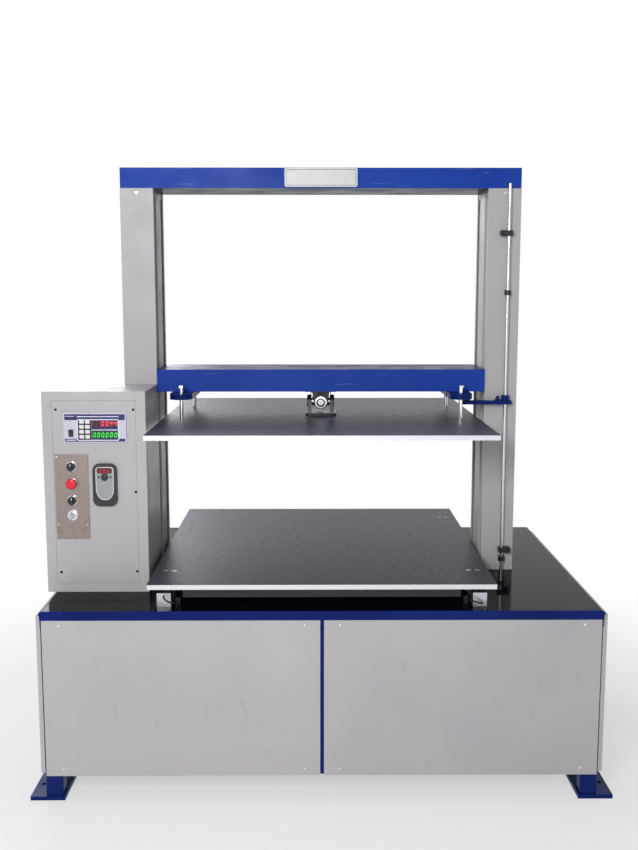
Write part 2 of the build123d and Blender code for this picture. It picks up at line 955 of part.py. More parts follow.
def lead_points(route, side):
    y0 = front_cell_y()[0]
    return [Vector(side * (cell_distance - inward), y0 - forward, base_height + up)
            for inward, forward, up in route]


def lead(route, side):
    """One lead as a tube of straight runs joined by arcs."""
    points = lead_points(route, side)
    runs = [b - a for a, b in zip(points, points[1:])]
    radii = []
    for before, after in zip(runs, runs[1:]):
        turn = before.get_angle(after) * pi / 180
        radii.append(arc_share * min(before.length, after.length) / (sin(turn / 2) / cos(turn / 2)))
    print("lead bend radii", [round(radius, 1) for radius in radii])
    path = FilletPolyline(*points, radius=radii)
    section = Plane(origin=points[0], z_dir=runs[0]) * Circle(lead_radius)
    return sweep(section, path=path)


def load_cell_leads():
    """A short lead from the end of each cell to a gland on the base top."""
    return with_rear([lead(left_lead_route, -1), lead(right_lead_route, 1)])


def lead_glands():
    """The clamp block on the base top into which each lead goes."""
    glands = []
    for route, side in ((left_lead_route, -1), (right_lead_route, 1)):
        end = lead_points(route, side)[-1]
        glands.append(block(about(end.X, 2 * gland_radius), (end.Y, end.Y + 2 * gland_radius),
                            (base_height, end.Z + gland_rise)))
    return with_rear(glands)


# Trip rod

def limit_rod():
    return [disc(rod_x, rod_y, rod_bottom, rod_top, rod_radius)]


def rod_collars():
    """Two stop collars in view and one inside the base that works the upper switch."""
    collars = []
    for z0, height, radius in ((upper_collar_z, upper_collar_height, collar_radius),
                               (lower_collar_z, lower_collar_height, collar_radius),
                               (inner_collar_z, inner_collar_height, inner_collar_radius)):
        collar = disc(rod_x, rod_y, z0, z0 + height, radius)
        collars.append(collar - disc(rod_x, rod_y, z0, z0 + height, rod_radius))
    return collars


def rod_guides():
    """Two guide blocks on the right column, each with its bolt."""
    pieces = []
    for z0, side in ((upper_guide_z, -1), (lower_guide_z, 1)):
        z1 = z0 + guide_block_height
        x = limits(rod_x - side * guide_block_front, rod_x + side * guide_block_reach)
        guide = block(x, (rod_y - guide_block_front, column_front), (z0, z1))
        guide -= disc(rod_x, rod_y, z0, z1, rod_radius + rod_fit)
        bolt = Pos(rod_x + side * guide_bolt_step, rod_y - guide_block_front, (z0 + z1) / 2)
        pieces += [guide, bolt * Rot(90, 0, 0) * hexagon(yoke_bolt_flats, yoke_bolt_head)]
    return pieces


def limit_switches():
    """One switch under the rod's end and one over its inner collar, on the bearer beside it."""
    wall = column_distance + bearer_offset - tube / 2
    top = rod_bottom - rod_travel - plunger_gap
    z1 = top - 2 * plunger_radius
    body = block((wall - switch_width, wall), about(rod_y, switch_depth), (z1 - switch_height, z1))
    tab_z = (z1, top_rail_z + switch_tab_height)
    body += block((wall - switch_tab, wall), about(rod_y, switch_depth), tab_z)
    body += disc(rod_x, rod_y, z1, top, plunger_radius)
    under = inner_collar_z + inner_collar_height + rod_travel + plunger_gap
    upper = block((wall - upper_switch_width, wall), about(rod_y, upper_switch_depth),
                  (under + upper_plunger_height, frame_top))
    upper -= block((wall - switch_tab, wall), about(rod_y, switch_depth),
                   (under, top_rail_z + switch_tab_height))
    upper += disc(wall - upper_switch_width + upper_plunger_inset, rod_y,
                  under, under + upper_plunger_height, upper_plunger_radius)
    return [body, upper]


# Cabinet

def door_opening(grow):
    """Limits of the door opening, made larger on each side by grow."""
    x = (cabinet_x - cabinet_width / 2 + rim_side - grow, cabinet_x + cabinet_width / 2 - rim_side + grow)
    z = (base_height + rim_foot - grow, base_height + cabinet_height - rim_head + grow)
    return x, z


def cabinet_shell():
    """The cabinet with a rim round its door and a ledge behind the rim."""
    x = about(cabinet_x, cabinet_width)
    y = (cabinet_front, cabinet_back)
    z = (base_height, base_height + cabinet_height)
    sheet = cabinet_sheet
    shell = block(x, y, z)
    shell -= block((x[0] + sheet, x[1] - sheet), (y[0] + 2 * sheet, y[1] - sheet),
                   (z[0] + sheet, z[1] - sheet))
    hole_x, hole_z = door_opening(0)
    shell -= block(hole_x, (y[0], y[0] + sheet), hole_z)
    ledge_x, ledge_z = door_opening(-door_ledge)
    shell -= block(ledge_x, (y[0] + sheet, y[0] + 2 * sheet), ledge_z)
    return [shell]


def operator_places():
    """Middle of each operator on the stainless plate."""
    return [(plate_x, z) for z in (upper_selector_z, stop_button_z, lower_selector_z, key_switch_z)]


def cabinet_door():
    """The front panel of the cabinet, cut for the instrument, the operators and the keypad."""
    x, z = door_opening(-door_gap)
    y = (cabinet_front, cabinet_front + cabinet_sheet)
    door = block(x, y, z)
    door -= block(about(indicator_x, case_width), y, about(indicator_z, case_height))
    door -= block(about(keypad_x, keypad_back_width), y, about(keypad_z, keypad_back_height))
    for px, pz in operator_places():
        door -= disc_y(px, pz, *y, operator_barrel)
    return [door]


def control_plate():
    """A stainless plate on the door, doubled over all but its foot."""
    y1 = cabinet_front
    y0 = y1 - plate_sheet
    plate = block(about(plate_x, plate_width), (y0, y1), (plate_z, plate_z + plate_height))
    upper_x = (plate_x - plate_width / 2, plate_x + plate_width / 2 - plate_step_inset)
    plate += block(upper_x, (y0 - plate_sheet, y0), (plate_step_z, plate_z + plate_height))
    for px, pz in operator_places():
        plate -= disc_y(px, pz, y0 - plate_sheet, y1, operator_barrel)
    return [plate]


operator_front = cabinet_front - 2 * plate_sheet


def switch_collars():
    """Chrome collar, barrel and contact block of each operator."""
    face = operator_front - operator_collar_height
    back = cabinet_front + operator_block_depth
    pieces = []
    for x, z in operator_places():
        collar = disc_y(x, z, face, operator_front, operator_collar)
        collar += disc_y(x, z, operator_front, cabinet_front + cabinet_sheet, operator_barrel)
        collar += block(about(x, operator_block), (cabinet_front + cabinet_sheet, back),
                        about(z, operator_block))
        collar -= disc_y(x, z, face, face + spindle_depth + button_travel, spindle_radius + spindle_fit)
        pieces.append(collar)
    return pieces


def selector(z):
    """A round knob with a raised grip, on a spindle in its collar."""
    face = operator_front - operator_collar_height - spindle_fit
    skirt = face - knob_height / 2
    knob = disc_y(plate_x, z, skirt, face, knob_radius)
    knob += disc_y(plate_x, z, face, face + spindle_depth, spindle_radius)
    grip = block(about(plate_x, grip_width), (skirt - knob_height / 2, skirt), about(z, 2 * knob_radius))
    grip &= disc_y(plate_x, z, skirt - knob_height / 2, skirt, knob_radius)
    return [knob + grip]


def upper_selector():
    return selector(upper_selector_z)


def lower_selector():
    return selector(lower_selector_z)


def stop_button():
    """A domed mushroom head on a stem that slides in its collar."""
    back = operator_front - operator_collar_height - button_travel - button_gap
    front = back - mushroom_height
    head = disc_y(plate_x, stop_button_z, front, back, mushroom_radius)
    head = fillet(head.edges().group_by(Axis.Y)[0], mushroom_dome)
    stem_end = operator_front - operator_collar_height + spindle_depth - button_gap
    return [head + disc_y(plate_x, stop_button_z, back, stem_end, spindle_radius)]


def key_switch():
    """The plug of the lock with its key."""
    z = key_switch_z
    face = operator_front - operator_collar_height - spindle_fit
    plug_face = face - key_plug_height
    plug = disc_y(plate_x, z, plug_face, face, key_plug_radius)
    plug += disc_y(plate_x, z, face, face + spindle_depth, spindle_radius)
    bow = disc_x(plug_face - key_bow_length / 2, z, plate_x - key_bow_width / 2,
                 plate_x + key_bow_width / 2, key_bow_radius)
    bow &= block(about(plate_x, key_bow_width), (plug_face - key_bow_length, plug_face),
                 about(z, key_bow_height))
    return [plug + bow]


indicator_face = cabinet_front - indicator_proud


def key_places():
    """Middle of each indicator key, row by row."""
    return [(key_column_x + column * key_column_pitch, key_row_z - row * key_row_pitch)
            for row in range(4) for column in range(2)]


def load_indicator():
    """Bezel and case of the load indicator, with wells for its keys and rocker."""
    bezel = front_slab(indicator_x, indicator_z, indicator_face, cabinet_front,
                       indicator_width, indicator_height, indicator_corner)
    bezel += block(about(indicator_x, case_width),
                   (cabinet_front, cabinet_front + case_depth), about(indicator_z, case_height))
    depth = key_root + key_travel + key_fit
    for x, z in key_places():
        bezel -= block(about(x, key_width + 2 * key_fit), (indicator_face, indicator_face + depth),
                       about(z, key_height + 2 * key_fit))
    bezel -= block(about(rocker_x, rocker_width + 2 * key_fit),
                   (indicator_face, indicator_face + rocker_well),
                   about(rocker_z, rocker_height + 2 * key_fit))
    bezel -= block(about(window_x, window_width), (indicator_face, indicator_face + window_recess),
                   about(window_z, window_height))
    return [bezel]


def indicator_key(x, z):
    """One key cap in its well."""
    y0 = indicator_face - key_proud
    return [front_slab(x, z, y0, indicator_face + key_root, key_width, key_height, key_corner)]


def rocker_switch():
    """A rocker with a shallow V face, tipped about its pivot so that its foot is pressed in."""
    x = about(rocker_x, rocker_width)
    y = indicator_face + rocker_pivot_depth
    half = rocker_height / 2
    outline = Polyline((-half, 0), (-half, rocker_end), (0, rocker_middle), (half, rocker_end),
                       (half, 0), close=True)
    plane = Plane((x[0], y, rocker_z), x_dir=(0, 0, 1), z_dir=(1, 0, 0))
    body = disc_x(y, rocker_z, *x, half) & block(x, (y, y + half), about(rocker_z, rocker_height))
    body += extrude(plane * make_face(outline), rocker_width)
    return [Pos(0, y, rocker_z) * Rot(rocker_tilt, 0, 0) * Pos(0, -y, -rocker_z) * body]


def drive_keypad():
    """The front of the motor drive: a rounded shield with its body behind the door."""
    y0 = cabinet_front - keypad_proud
    shield = front_slab(keypad_x, keypad_z, y0, cabinet_front,
                        keypad_width, keypad_height, keypad_corner)
    shield += block(about(keypad_x, keypad_back_width),
                    (cabinet_front, cabinet_front + keypad_back_depth),
                    about(keypad_z, keypad_back_height))
    shield -= disc_y(keypad_x, keypad_knob_z, y0, y0 + keypad_knob_depth + spindle_fit,
                     keypad_knob_radius + spindle_fit)
    return [shield]


def keypad_knob():
    """The small speed knob of the drive."""
    y0 = cabinet_front - keypad_proud
    knob = disc_y(keypad_x, keypad_knob_z, y0 - keypad_knob_height + keypad_knob_depth,
                  y0 + keypad_knob_depth, keypad_knob_radius)
    notch = block(about(keypad_x, keypad_notch), (y0 - keypad_knob_height, y0 - keypad_notch / 2),
                  (keypad_knob_z, keypad_knob_z + keypad_knob_radius))
    return [knob - notch]


# Drive inside the base

def pulley(radius, teeth):
    """A toothed pulley between two flanges, standing on z = 0 about its axis."""
    step = 2 * pi / teeth
    root = radius - tooth_depth
    points = []
    for tooth in range(teeth):
        middle = tooth * step
        for share, r in ((-tooth_root / 2, root), (-tooth_tip / 2, radius),
                         (tooth_tip / 2, radius), (tooth_root / 2, root)):
            angle = middle + share * step
            points.append((r * cos(angle), r * sin(angle)))
    width = belt_width + 2 * pulley_side_gap
    body = Pos(0, 0, pulley_flange_height) * extrude(make_face(Polyline(*points, close=True)), width)
    body += disc(0, 0, 0, pulley_flange_height, radius + pulley_flange)
    top = pulley_flange_height + width
    return body + disc(0, 0, top, top + pulley_flange_height, radius + pulley_flange)


pulley_z = belt_z - pulley_side_gap - pulley_flange_height
pulley_height = belt_width + 2 * pulley_side_gap + 2 * pulley_flange_height


def lead_screw(side):
    """A lead screw with plain journals, and the pulley on its lower end."""
    x = side * column_distance
    thread = (base_height + shaft_plate + screw_end_gap, column_top - shaft_plate - screw_end_gap)
    screw = disc(x, load_y, *thread, screw_radius)
    screw += disc(x, load_y, pulley_z, thread[0], journal_radius)
    screw += disc(x, load_y, thread[1], column_top - running, journal_radius)
    wheel = Pos(x, load_y, pulley_z) * pulley(pulley_radius, pulley_teeth)
    wheel -= disc(x, load_y, pulley_z, pulley_z + pulley_height, journal_radius)
    return [screw, wheel]


def left_lead_screw():
    return lead_screw(-1)


def right_lead_screw():
    return lead_screw(1)


def motor_pulley():
    """The driving pulley with the gear unit's output shaft."""
    wheel = Pos(0, motor_y, pulley_z) * pulley(motor_pulley_radius, motor_pulley_teeth)
    shaft_top = top_rail_z - gearbox_flange - gearbox_height + shaft_pocket - pulley_side_gap
    return [wheel + disc(0, motor_y, pulley_z, shaft_top, journal_radius)]


def drive_belt():
    """One toothed belt round both screw pulleys and the motor pulley."""
    places = [(-column_distance, load_y, pulley_radius), (column_distance, load_y, pulley_radius),
              (0, motor_y, motor_pulley_radius)]

    def loop(grow):
        circles = [Pos(x, y) * Circle(radius + grow) for x, y, radius in places]
        return make_hull(circles[0].edges() + circles[1].edges() + circles[2].edges())

    band = loop(belt_clearance + belt_thickness) - loop(belt_clearance)
    return [extrude(Plane.XY.offset(belt_z) * band, belt_width)]


def gear_motor():
    """A worm gear unit under the middle bearers, with its motor behind."""
    flange_z = (top_rail_z - gearbox_flange, top_rail_z)
    body_z = (flange_z[0] - gearbox_height, flange_z[0])
    box = block(about(0, gearbox_width), about(motor_y, gearbox_depth), body_z)
    box = fillet(box.edges().filter_by(Axis.Z), gearbox_edge)
    box += block(about(0, gearbox_flange_width), about(motor_y, gearbox_depth), flange_z)
    box -= disc(0, motor_y, body_z[0], body_z[0] + shaft_pocket, journal_radius + spindle_fit)
    motor_z = sum(body_z) / 2
    start = motor_y + gearbox_depth / 2
    motor = disc_y(0, motor_z, start, start + motor_neck, motor_neck_radius)
    motor += disc_y(0, motor_z, start + motor_neck, start + motor_length, motor_radius)
    motor += disc_y(0, motor_z, start + motor_length - motor_cap_length, start + motor_length,
                    motor_cap_radius)
    return [box, motor]


nodes = [foot_plates, base_frame, base_top, base_panels, side_panels, cover_screws,
         column_covers, screw_covers, shaft_plates, guide_shafts, screw_bearings, top_beam,
         crosshead_beam, crosshead_lugs, carriages, linear_bushes, screw_nuts, trip_arm,
         upper_yoke, bearing_cups, yoke_bolts, joint_cross, lower_yoke, upper_platen,
         platen_bolts, lower_platen, platen_screws, platen_bearers, load_cells, load_cell_leads,
         lead_glands, limit_rod, rod_collars, rod_guides, limit_switches, cabinet_shell,
         cabinet_door, control_plate, switch_collars, upper_selector, stop_button,
         lower_selector, key_switch, load_indicator, rocker_switch, drive_keypad, keypad_knob,
         left_lead_screw, right_lead_screw, motor_pulley, drive_belt, gear_motor]

for node in nodes:
    save(node.__name__, node())

for number, (key_x, key_z) in enumerate(key_places(), start=1):
    save(f"indicator_key_{number}", indicator_key(key_x, key_z))
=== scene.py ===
import json
import math

import bmesh
import bpy
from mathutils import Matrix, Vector


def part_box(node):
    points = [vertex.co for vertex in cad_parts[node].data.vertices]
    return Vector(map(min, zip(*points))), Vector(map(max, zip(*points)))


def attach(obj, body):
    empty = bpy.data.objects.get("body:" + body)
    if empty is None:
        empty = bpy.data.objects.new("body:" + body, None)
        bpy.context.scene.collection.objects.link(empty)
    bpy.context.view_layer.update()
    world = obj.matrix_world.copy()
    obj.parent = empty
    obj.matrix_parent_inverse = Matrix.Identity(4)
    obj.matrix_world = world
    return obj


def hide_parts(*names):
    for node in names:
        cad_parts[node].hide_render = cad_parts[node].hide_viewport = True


# Looks of the box compression tester. Lengths are in metres, or in millimetres times MM.
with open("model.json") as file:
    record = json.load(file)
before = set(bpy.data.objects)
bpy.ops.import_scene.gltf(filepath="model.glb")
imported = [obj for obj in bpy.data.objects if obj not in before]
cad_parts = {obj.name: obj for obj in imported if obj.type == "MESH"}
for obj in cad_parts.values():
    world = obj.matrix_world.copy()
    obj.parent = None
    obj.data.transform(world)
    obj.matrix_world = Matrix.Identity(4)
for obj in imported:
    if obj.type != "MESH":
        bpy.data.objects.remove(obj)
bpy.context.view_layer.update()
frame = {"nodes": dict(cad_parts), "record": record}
MM = 0.001


# Camera and background

SENSOR_WIDTH, LENS = 36.0, 41.86
CAMERA_PLACE = (-0.0271, -3.2125, 1.4566)
CAMERA_DOWN, CAMERA_ROLL = math.radians(7.615), -0.0067
LIT_LEVEL = 0.26
FLOOR_HALF = 9.0
FLOOR_GLOW_NEAR, FLOOR_GLOW_FAR = 0.9, 2.2
FLOOR_GLOW_LEAST = 0.55


def place_camera():
    """The viewpoint of the photograph: in front, a little left of the middle, looking slightly down."""
    data = bpy.data.cameras.new("camera")
    data.sensor_width = SENSOR_WIDTH
    data.lens = LENS
    camera = bpy.data.objects.new("camera", data)
    camera.location = CAMERA_PLACE
    camera.rotation_euler = (math.pi / 2 - CAMERA_DOWN, 0.0, CAMERA_ROLL)
    bpy.context.scene.collection.objects.link(camera)
    bpy.context.scene.camera = camera


def background_world():
    """White where the camera or a reflection sees it, and a plain soft level as light."""
    world = bpy.data.worlds.new("studio")
    bpy.context.scene.world = world
    world.use_nodes = True
    tree = world.node_tree
    seen = tree.nodes.new("ShaderNodeBackground")
    seen.inputs["Color"].default_value = (1.0, 1.0, 1.0, 1.0)
    lit = tree.nodes["Background"]
    lit.inputs["Color"].default_value = (0.95, 0.97, 1.0, 1.0)
    lit.inputs["Strength"].default_value = LIT_LEVEL
    path = tree.nodes.new("ShaderNodeLightPath")
    seen_or_mirrored = tree.nodes.new("ShaderNodeMath")
    seen_or_mirrored.operation = "MAXIMUM"
    any_sight = tree.nodes.new("ShaderNodeMath")
    any_sight.operation = "MAXIMUM"
    mix = tree.nodes.new("ShaderNodeMixShader")
    tree.links.new(path.outputs["Is Camera Ray"], seen_or_mirrored.inputs[0])
    tree.links.new(path.outputs["Is Glossy Ray"], seen_or_mirrored.inputs[1])
    tree.links.new(seen_or_mirrored.outputs[0], any_sight.inputs[0])
    tree.links.new(path.outputs["Is Transmission Ray"], any_sight.inputs[1])
    tree.links.new(any_sight.outputs[0], mix.inputs["Fac"])
    tree.links.new(lit.outputs[0], mix.inputs[1])
    tree.links.new(seen.outputs[0], mix.inputs[2])
    tree.links.new(mix.outputs[0], tree.nodes["World Output"].inputs["Surface"])


def floor():
    """A pale floor that keeps the machine's shadow and runs into the white background."""
    half = FLOOR_HALF
    mesh = bpy.data.meshes.new("floor")
    corners = [(-half, -half, 0), (half, -half, 0), (half, half, 0), (-half, half, 0)]
    mesh.from_pydata(corners, [], [(0, 1, 2, 3)])
    ground = bpy.data.objects.new("floor", mesh)
    bpy.context.scene.collection.objects.link(ground)
    material = bpy.data.materials.new("floor")
    material.use_nodes = True
    tree = material.node_tree
    matte = tree.nodes["Principled BSDF"]
    matte.inputs["Base Color"].default_value = (0.86, 0.86, 0.86, 1.0)
    matte.inputs["Roughness"].default_value = 0.9
    glow = tree.nodes.new("ShaderNodeEmission")
    glow.inputs["Strength"].default_value = 1.0
    place = tree.nodes.new("ShaderNodeTexCoord")
    distance = tree.nodes.new("ShaderNodeVectorMath")
    distance.operation = "LENGTH"
    share = tree.nodes.new("ShaderNodeMapRange")
    share.interpolation_type = "SMOOTHSTEP"
    share.inputs["From Min"].default_value = FLOOR_GLOW_NEAR
    share.inputs["From Max"].default_value = FLOOR_GLOW_FAR
    share.inputs["To Min"].default_value = FLOOR_GLOW_LEAST
    share.inputs["To Max"].default_value = 1.0
    path = tree.nodes.new("ShaderNodeLightPath")
    seen = tree.nodes.new("ShaderNodeMath")
    seen.operation = "MAXIMUM"
    amount = tree.nodes.new("ShaderNodeMath")
    amount.operation = "MULTIPLY"
    mix = tree.nodes.new("ShaderNodeMixShader")
    tree.links.new(place.outputs["Object"], distance.inputs[0])
    tree.links.new(distance.outputs["Value"], share.inputs["Value"])
    tree.links.new(path.outputs["Is Camera Ray"], seen.inputs[0])
    tree.links.new(path.outputs["Is Glossy Ray"], seen.inputs[1])
    tree.links.new(share.outputs["Result"], amount.inputs[0])
    tree.links.new(seen.outputs[0], amount.inputs[1])
    tree.links.new(amount.outputs[0], mix.inputs["Fac"])
    tree.links.new(matte.outputs[0], mix.inputs[1])
    tree.links.new(glow.outputs[0], mix.inputs[2])
    tree.links.new(mix.outputs[0], tree.nodes["Material Output"].inputs["Surface"])
    mesh.materials.append(material)


def lamp(name, place, target, size, power):
    """A square soft lamp that points at a target."""
    data = bpy.data.lights.new(name, "AREA")
    data.size = size
    data.energy = power
    light = bpy.data.objects.new(name, data)
    light.location = place
    light.rotation_euler = (Vector(target) - Vector(place)).to_track_quat("-Z", "Y").to_euler()
    bpy.context.scene.collection.objects.link(light)


bpy.context.scene.view_settings.view_transform = "Standard"
place_camera()
background_world()
floor()
# Name, place, target, side in metres and power in watts of each lamp.
LAMPS = (("key", (-0.7, -3.0, 2.0), (-0.15, 0.0, 1.05), 0.8, 42.0),
         ("fill", (-0.3, -3.4, 1.0), (-0.1, 0.0, 0.5), 1.4, 12.0),
         ("top", (-0.4, 0.6, 4.2), (0.0, 0.2, 0.6), 2.0, 22.0),
         ("back", (-1.8, 3.4, 2.6), (0.0, 0.4, 0.9), 2.2, 60.0))
for values in LAMPS:
    lamp(*values)


# Materials

def tone(red, green, blue):
    """A screen colour from 0 to 255 as a linear colour."""
    return tuple(((c / 255 + 0.055) / 1.055) ** 2.4 for c in (red, green, blue)) + (1.0,)


class Finish:
    """A Principled material whose colour, roughness and relief come from noise on the object."""

    def __init__(self, name, colour, roughness, metallic=0.0, specular=0.5):
        self.material = bpy.data.materials.new(name)
        self.material.use_nodes = True
        self.tree = self.material.node_tree
        self.shader = self.tree.nodes["Principled BSDF"]
        self.place = self.tree.nodes.new("ShaderNodeTexCoord").outputs["Object"]
        self.colour = colour
        self.normal = None
        self.shader.inputs["Base Color"].default_value = colour
        self.shader.inputs["Roughness"].default_value = roughness
        self.shader.inputs["Metallic"].default_value = metallic
        self.shader.inputs["Specular IOR Level"].default_value = specular

    def node(self, kind, **values):
        made = self.tree.nodes.new(kind)
        for key, value in values.items():
            setattr(made, key, value)
        return made

    def link(self, output, socket):
        self.tree.links.new(output, socket)

    def noise(self, scale, detail=2.0, stretch=(1.0, 1.0, 1.0)):
        """Noise between 0 and 1, with about scale cells in a metre along each stretched axis."""
        mapping = self.node("ShaderNodeMapping")
        mapping.inputs["Scale"].default_value = stretch
        cloud = self.node("ShaderNodeTexNoise")
        cloud.inputs["Scale"].default_value = scale
        cloud.inputs["Detail"].default_value = detail
        self.link(self.place, mapping.inputs["Vector"])
        self.link(mapping.outputs["Vector"], cloud.inputs["Vector"])
        return cloud.outputs["Fac"]

    def cells(self, scale):
        """Distance to the nearest random point, for pits and cast grain."""
        grid = self.node("ShaderNodeTexVoronoi")
        grid.inputs["Scale"].default_value = scale
        self.link(self.place, grid.inputs["Vector"])
        return grid.outputs["Distance"]

    def remap(self, value, low, high, out_low=0.0, out_high=1.0):
        """The part of a value between low and high, spread over a new range."""
        spread = self.node("ShaderNodeMapRange", interpolation_type="SMOOTHSTEP")
        for name, number in (("From Min", low), ("From Max", high),
                             ("To Min", out_low), ("To Max", out_high)):
            spread.inputs[name].default_value = number
        self.link(value, spread.inputs["Value"])
        return spread.outputs["Result"]

    def tint(self, amount, colour):
        """Mixes another colour over the base colour where amount is high."""
        mix = self.node("ShaderNodeMix", data_type="RGBA")
        source = self.shader.inputs["Base Color"]
        if source.is_linked:
            self.link(source.links[0].from_socket, mix.inputs["A"])
        else:
            mix.inputs["A"].default_value = self.colour
        mix.inputs["B"].default_value = colour
        self.link(amount, mix.inputs["Factor"])
        self.link(mix.outputs["Result"], source)

    def rough(self, value, low, high):
        """Roughness from low to high as the value goes from 0.3 to 0.7."""
        self.link(self.remap(value, 0.3, 0.7, low, high), self.shader.inputs["Roughness"])

    def relief(self, value, depth):
        """Adds bumps of that depth in metres."""
        bump = self.node("ShaderNodeBump")
        bump.inputs["Distance"].default_value = depth
        self.link(value, bump.inputs["Height"])
        if self.normal is not None:
            self.link(self.normal, bump.inputs["Normal"])
        self.normal = bump.outputs["Normal"]
        self.link(self.normal, self.shader.inputs["Normal"])

    def glow(self, colour, strength):
        """Light of its own, for a lit display."""
        self.shader.inputs["Emission Color"].default_value = colour
        self.shader.inputs["Emission Strength"].default_value = strength

    def faces(self, axis):
        """1 on faces square to an axis (0, 1 or 2) and 0 on the others."""
        source = self.node("ShaderNodeTexCoord").outputs["Normal"]
        split = self.node("ShaderNodeSeparateXYZ")
        size = self.node("ShaderNodeMath", operation="ABSOLUTE")
        self.link(source, split.inputs["Vector"])
        self.link(split.outputs[axis], size.inputs[0])
        return self.remap(size.outputs[0], 0.7, 0.95)


def paint(name, colour, darker, roughness=0.42, specular=0.4):
    """Sprayed paint: faint clouds of a darker tone, dull patches and an orange-peel skin."""
    finish = Finish(name, colour, roughness, specular=specular)
    finish.tint(finish.remap(finish.noise(2.6, 4.0), 0.35, 0.75, 0.0, 0.55), darker)
    finish.rough(finish.noise(9.0, 3.0), roughness - 0.06, roughness + 0.08)
    finish.relief(finish.noise(420.0, 1.0), 0.00003)
    return finish


def light_grey_paint():
    finish = paint("light_grey_paint", tone(194, 190, 191), tone(178, 176, 182))
    smudge = finish.remap(finish.noise(34.0, 5.0, (1.0, 1.0, 0.35)), 0.64, 0.8, 0.0, 0.35)
    finish.tint(smudge, tone(150, 147, 150))
    return finish.material


def blue_paint():
    finish = paint("blue_paint", tone(36, 74, 176), tone(26, 52, 146), 0.36, 0.08)
    scratch = finish.remap(finish.noise(60.0, 6.0, (0.12, 1.0, 1.6)), 0.66, 0.74, 0.0, 0.4)
    finish.tint(scratch, tone(120, 140, 205))
    # Painted shade: faces square to Z, the tops and undersides, are darkened towards a near-black blue.
    finish.tint(finish.remap(finish.faces(2), 0.0, 1.0, 0.0, 0.85), tone(12, 18, 40))
    return finish.material


def dark_blue_gloss():
    finish = Finish("dark_blue_gloss", tone(24, 42, 118), 0.07, specular=0.04)
    finish.tint(finish.remap(finish.noise(3.0, 3.0), 0.35, 0.7, 0.0, 0.6), tone(18, 30, 88))
    # Painted dark reflection: faces square to Z, the top sheet above all, are near-black, while the
    # upright edges stay blue.
    finish.tint(finish.faces(2), tone(9, 13, 22))
    finish.rough(finish.noise(14.0, 4.0), 0.05, 0.12)
    finish.relief(finish.noise(260.0, 1.0), 0.00001)
    return finish.material


def platen_steel():
    """Dark rolled plate with a fine grain; its dark tone is partly a painted dark reflection, and its
    upright side faces carry a painted highlight.
    """
    # The dark base tone is partly the plate's own and partly a painted dark reflection.
    finish = Finish("platen_steel", tone(66, 67, 80), 0.42, metallic=0.4, specular=0.12)
    grain = finish.noise(240.0, 3.0, (0.08, 1.0, 1.0))
    finish.tint(finish.remap(finish.noise(1.2, 2.0), 0.35, 0.7, 0.0, 0.25), tone(56, 57, 70))
    finish.tint(finish.remap(grain, 0.55, 0.8, 0.0, 0.2), tone(92, 94, 108))
    finish.tint(finish.remap(finish.noise(48.0, 5.0), 0.7, 0.8, 0.0, 0.2), tone(100, 100, 110))
    # Painted highlight: the upright side faces are tinted near-white.
    edge = finish.remap(finish.faces(2), 0.0, 1.0, 1.0, 0.0)
    finish.tint(edge, tone(222, 222, 230))
    finish.rough(finish.noise(60.0, 4.0), 0.38, 0.46)
    finish.relief(grain, 0.00002)
    return finish.material


def ground_steel():
    finish = Finish("ground_steel", tone(196, 194, 198), 0.22, metallic=1.0)
    turned = finish.noise(900.0, 2.0, (0.2, 0.2, 1.0))
    finish.tint(finish.remap(turned, 0.4, 0.7, 0.0, 0.4), tone(160, 158, 164))
    finish.rough(finish.noise(30.0, 3.0), 0.16, 0.3)
    finish.relief(turned, 0.00001)
    return finish.material


def dark_steel():
    finish = Finish("dark_steel", tone(44, 44, 50), 0.34, metallic=0.55)
    finish.tint(finish.remap(finish.noise(55.0, 5.0), 0.6, 0.78, 0.0, 0.5), tone(92, 92, 100))
    finish.rough(finish.noise(26.0, 3.0), 0.26, 0.42)
    finish.relief(finish.noise(330.0, 2.0), 0.00003)
    return finish.material


def chrome():
    finish = Finish("chrome", tone(226, 227, 232), 0.1, metallic=1.0)
    finish.tint(finish.remap(finish.noise(70.0, 3.0), 0.55, 0.75, 0.0, 0.35), tone(180, 181, 188))
    finish.rough(finish.noise(90.0, 3.0), 0.06, 0.16)
    return finish.material


def aluminium():
    finish = Finish("aluminium", tone(190, 191, 196), 0.36, metallic=1.0)
    milled = finish.noise(500.0, 2.0, (1.0, 0.1, 1.0))
    finish.tint(finish.remap(milled, 0.4, 0.7, 0.0, 0.4), tone(160, 161, 168))
    finish.rough(finish.noise(40.0, 3.0), 0.3, 0.46)
    finish.relief(milled, 0.00002)
    return finish.material


def stainless():
    """Brushed sheet, brushed from side to side, with a warm tone that is a painted brownish reflection,
    and darker blotches.
    """
    # The warm base tone is a painted brownish reflection.
    finish = Finish("stainless", tone(150, 138, 134), 0.3, metallic=0.85)
    brush = finish.noise(700.0, 3.0, (0.04, 1.0, 1.0))
    finish.tint(finish.remap(brush, 0.35, 0.7, 0.0, 0.5), tone(118, 108, 106))
    finish.tint(finish.remap(finish.noise(18.0, 4.0), 0.55, 0.75, 0.0, 0.35), tone(92, 85, 86))
    finish.rough(brush, 0.24, 0.4)
    finish.relief(brush, 0.00002)
    return finish.material


def bronze():
    finish = Finish("bronze", tone(176, 138, 80), 0.36, metallic=1.0)
    finish.tint(finish.remap(finish.noise(60.0, 4.0), 0.5, 0.75, 0.0, 0.5), tone(128, 96, 56))
    finish.relief(finish.noise(600.0, 2.0, (0.2, 0.2, 1.0)), 0.00002)
    return finish.material


def cast_grey():
    finish = Finish("cast_grey", tone(104, 110, 118), 0.6)
    finish.tint(finish.remap(finish.noise(20.0, 5.0), 0.45, 0.75, 0.0, 0.5), tone(76, 80, 88))
    finish.relief(finish.cells(380.0), 0.0002)
    finish.relief(finish.noise(120.0, 4.0), 0.0001)
    return finish.material


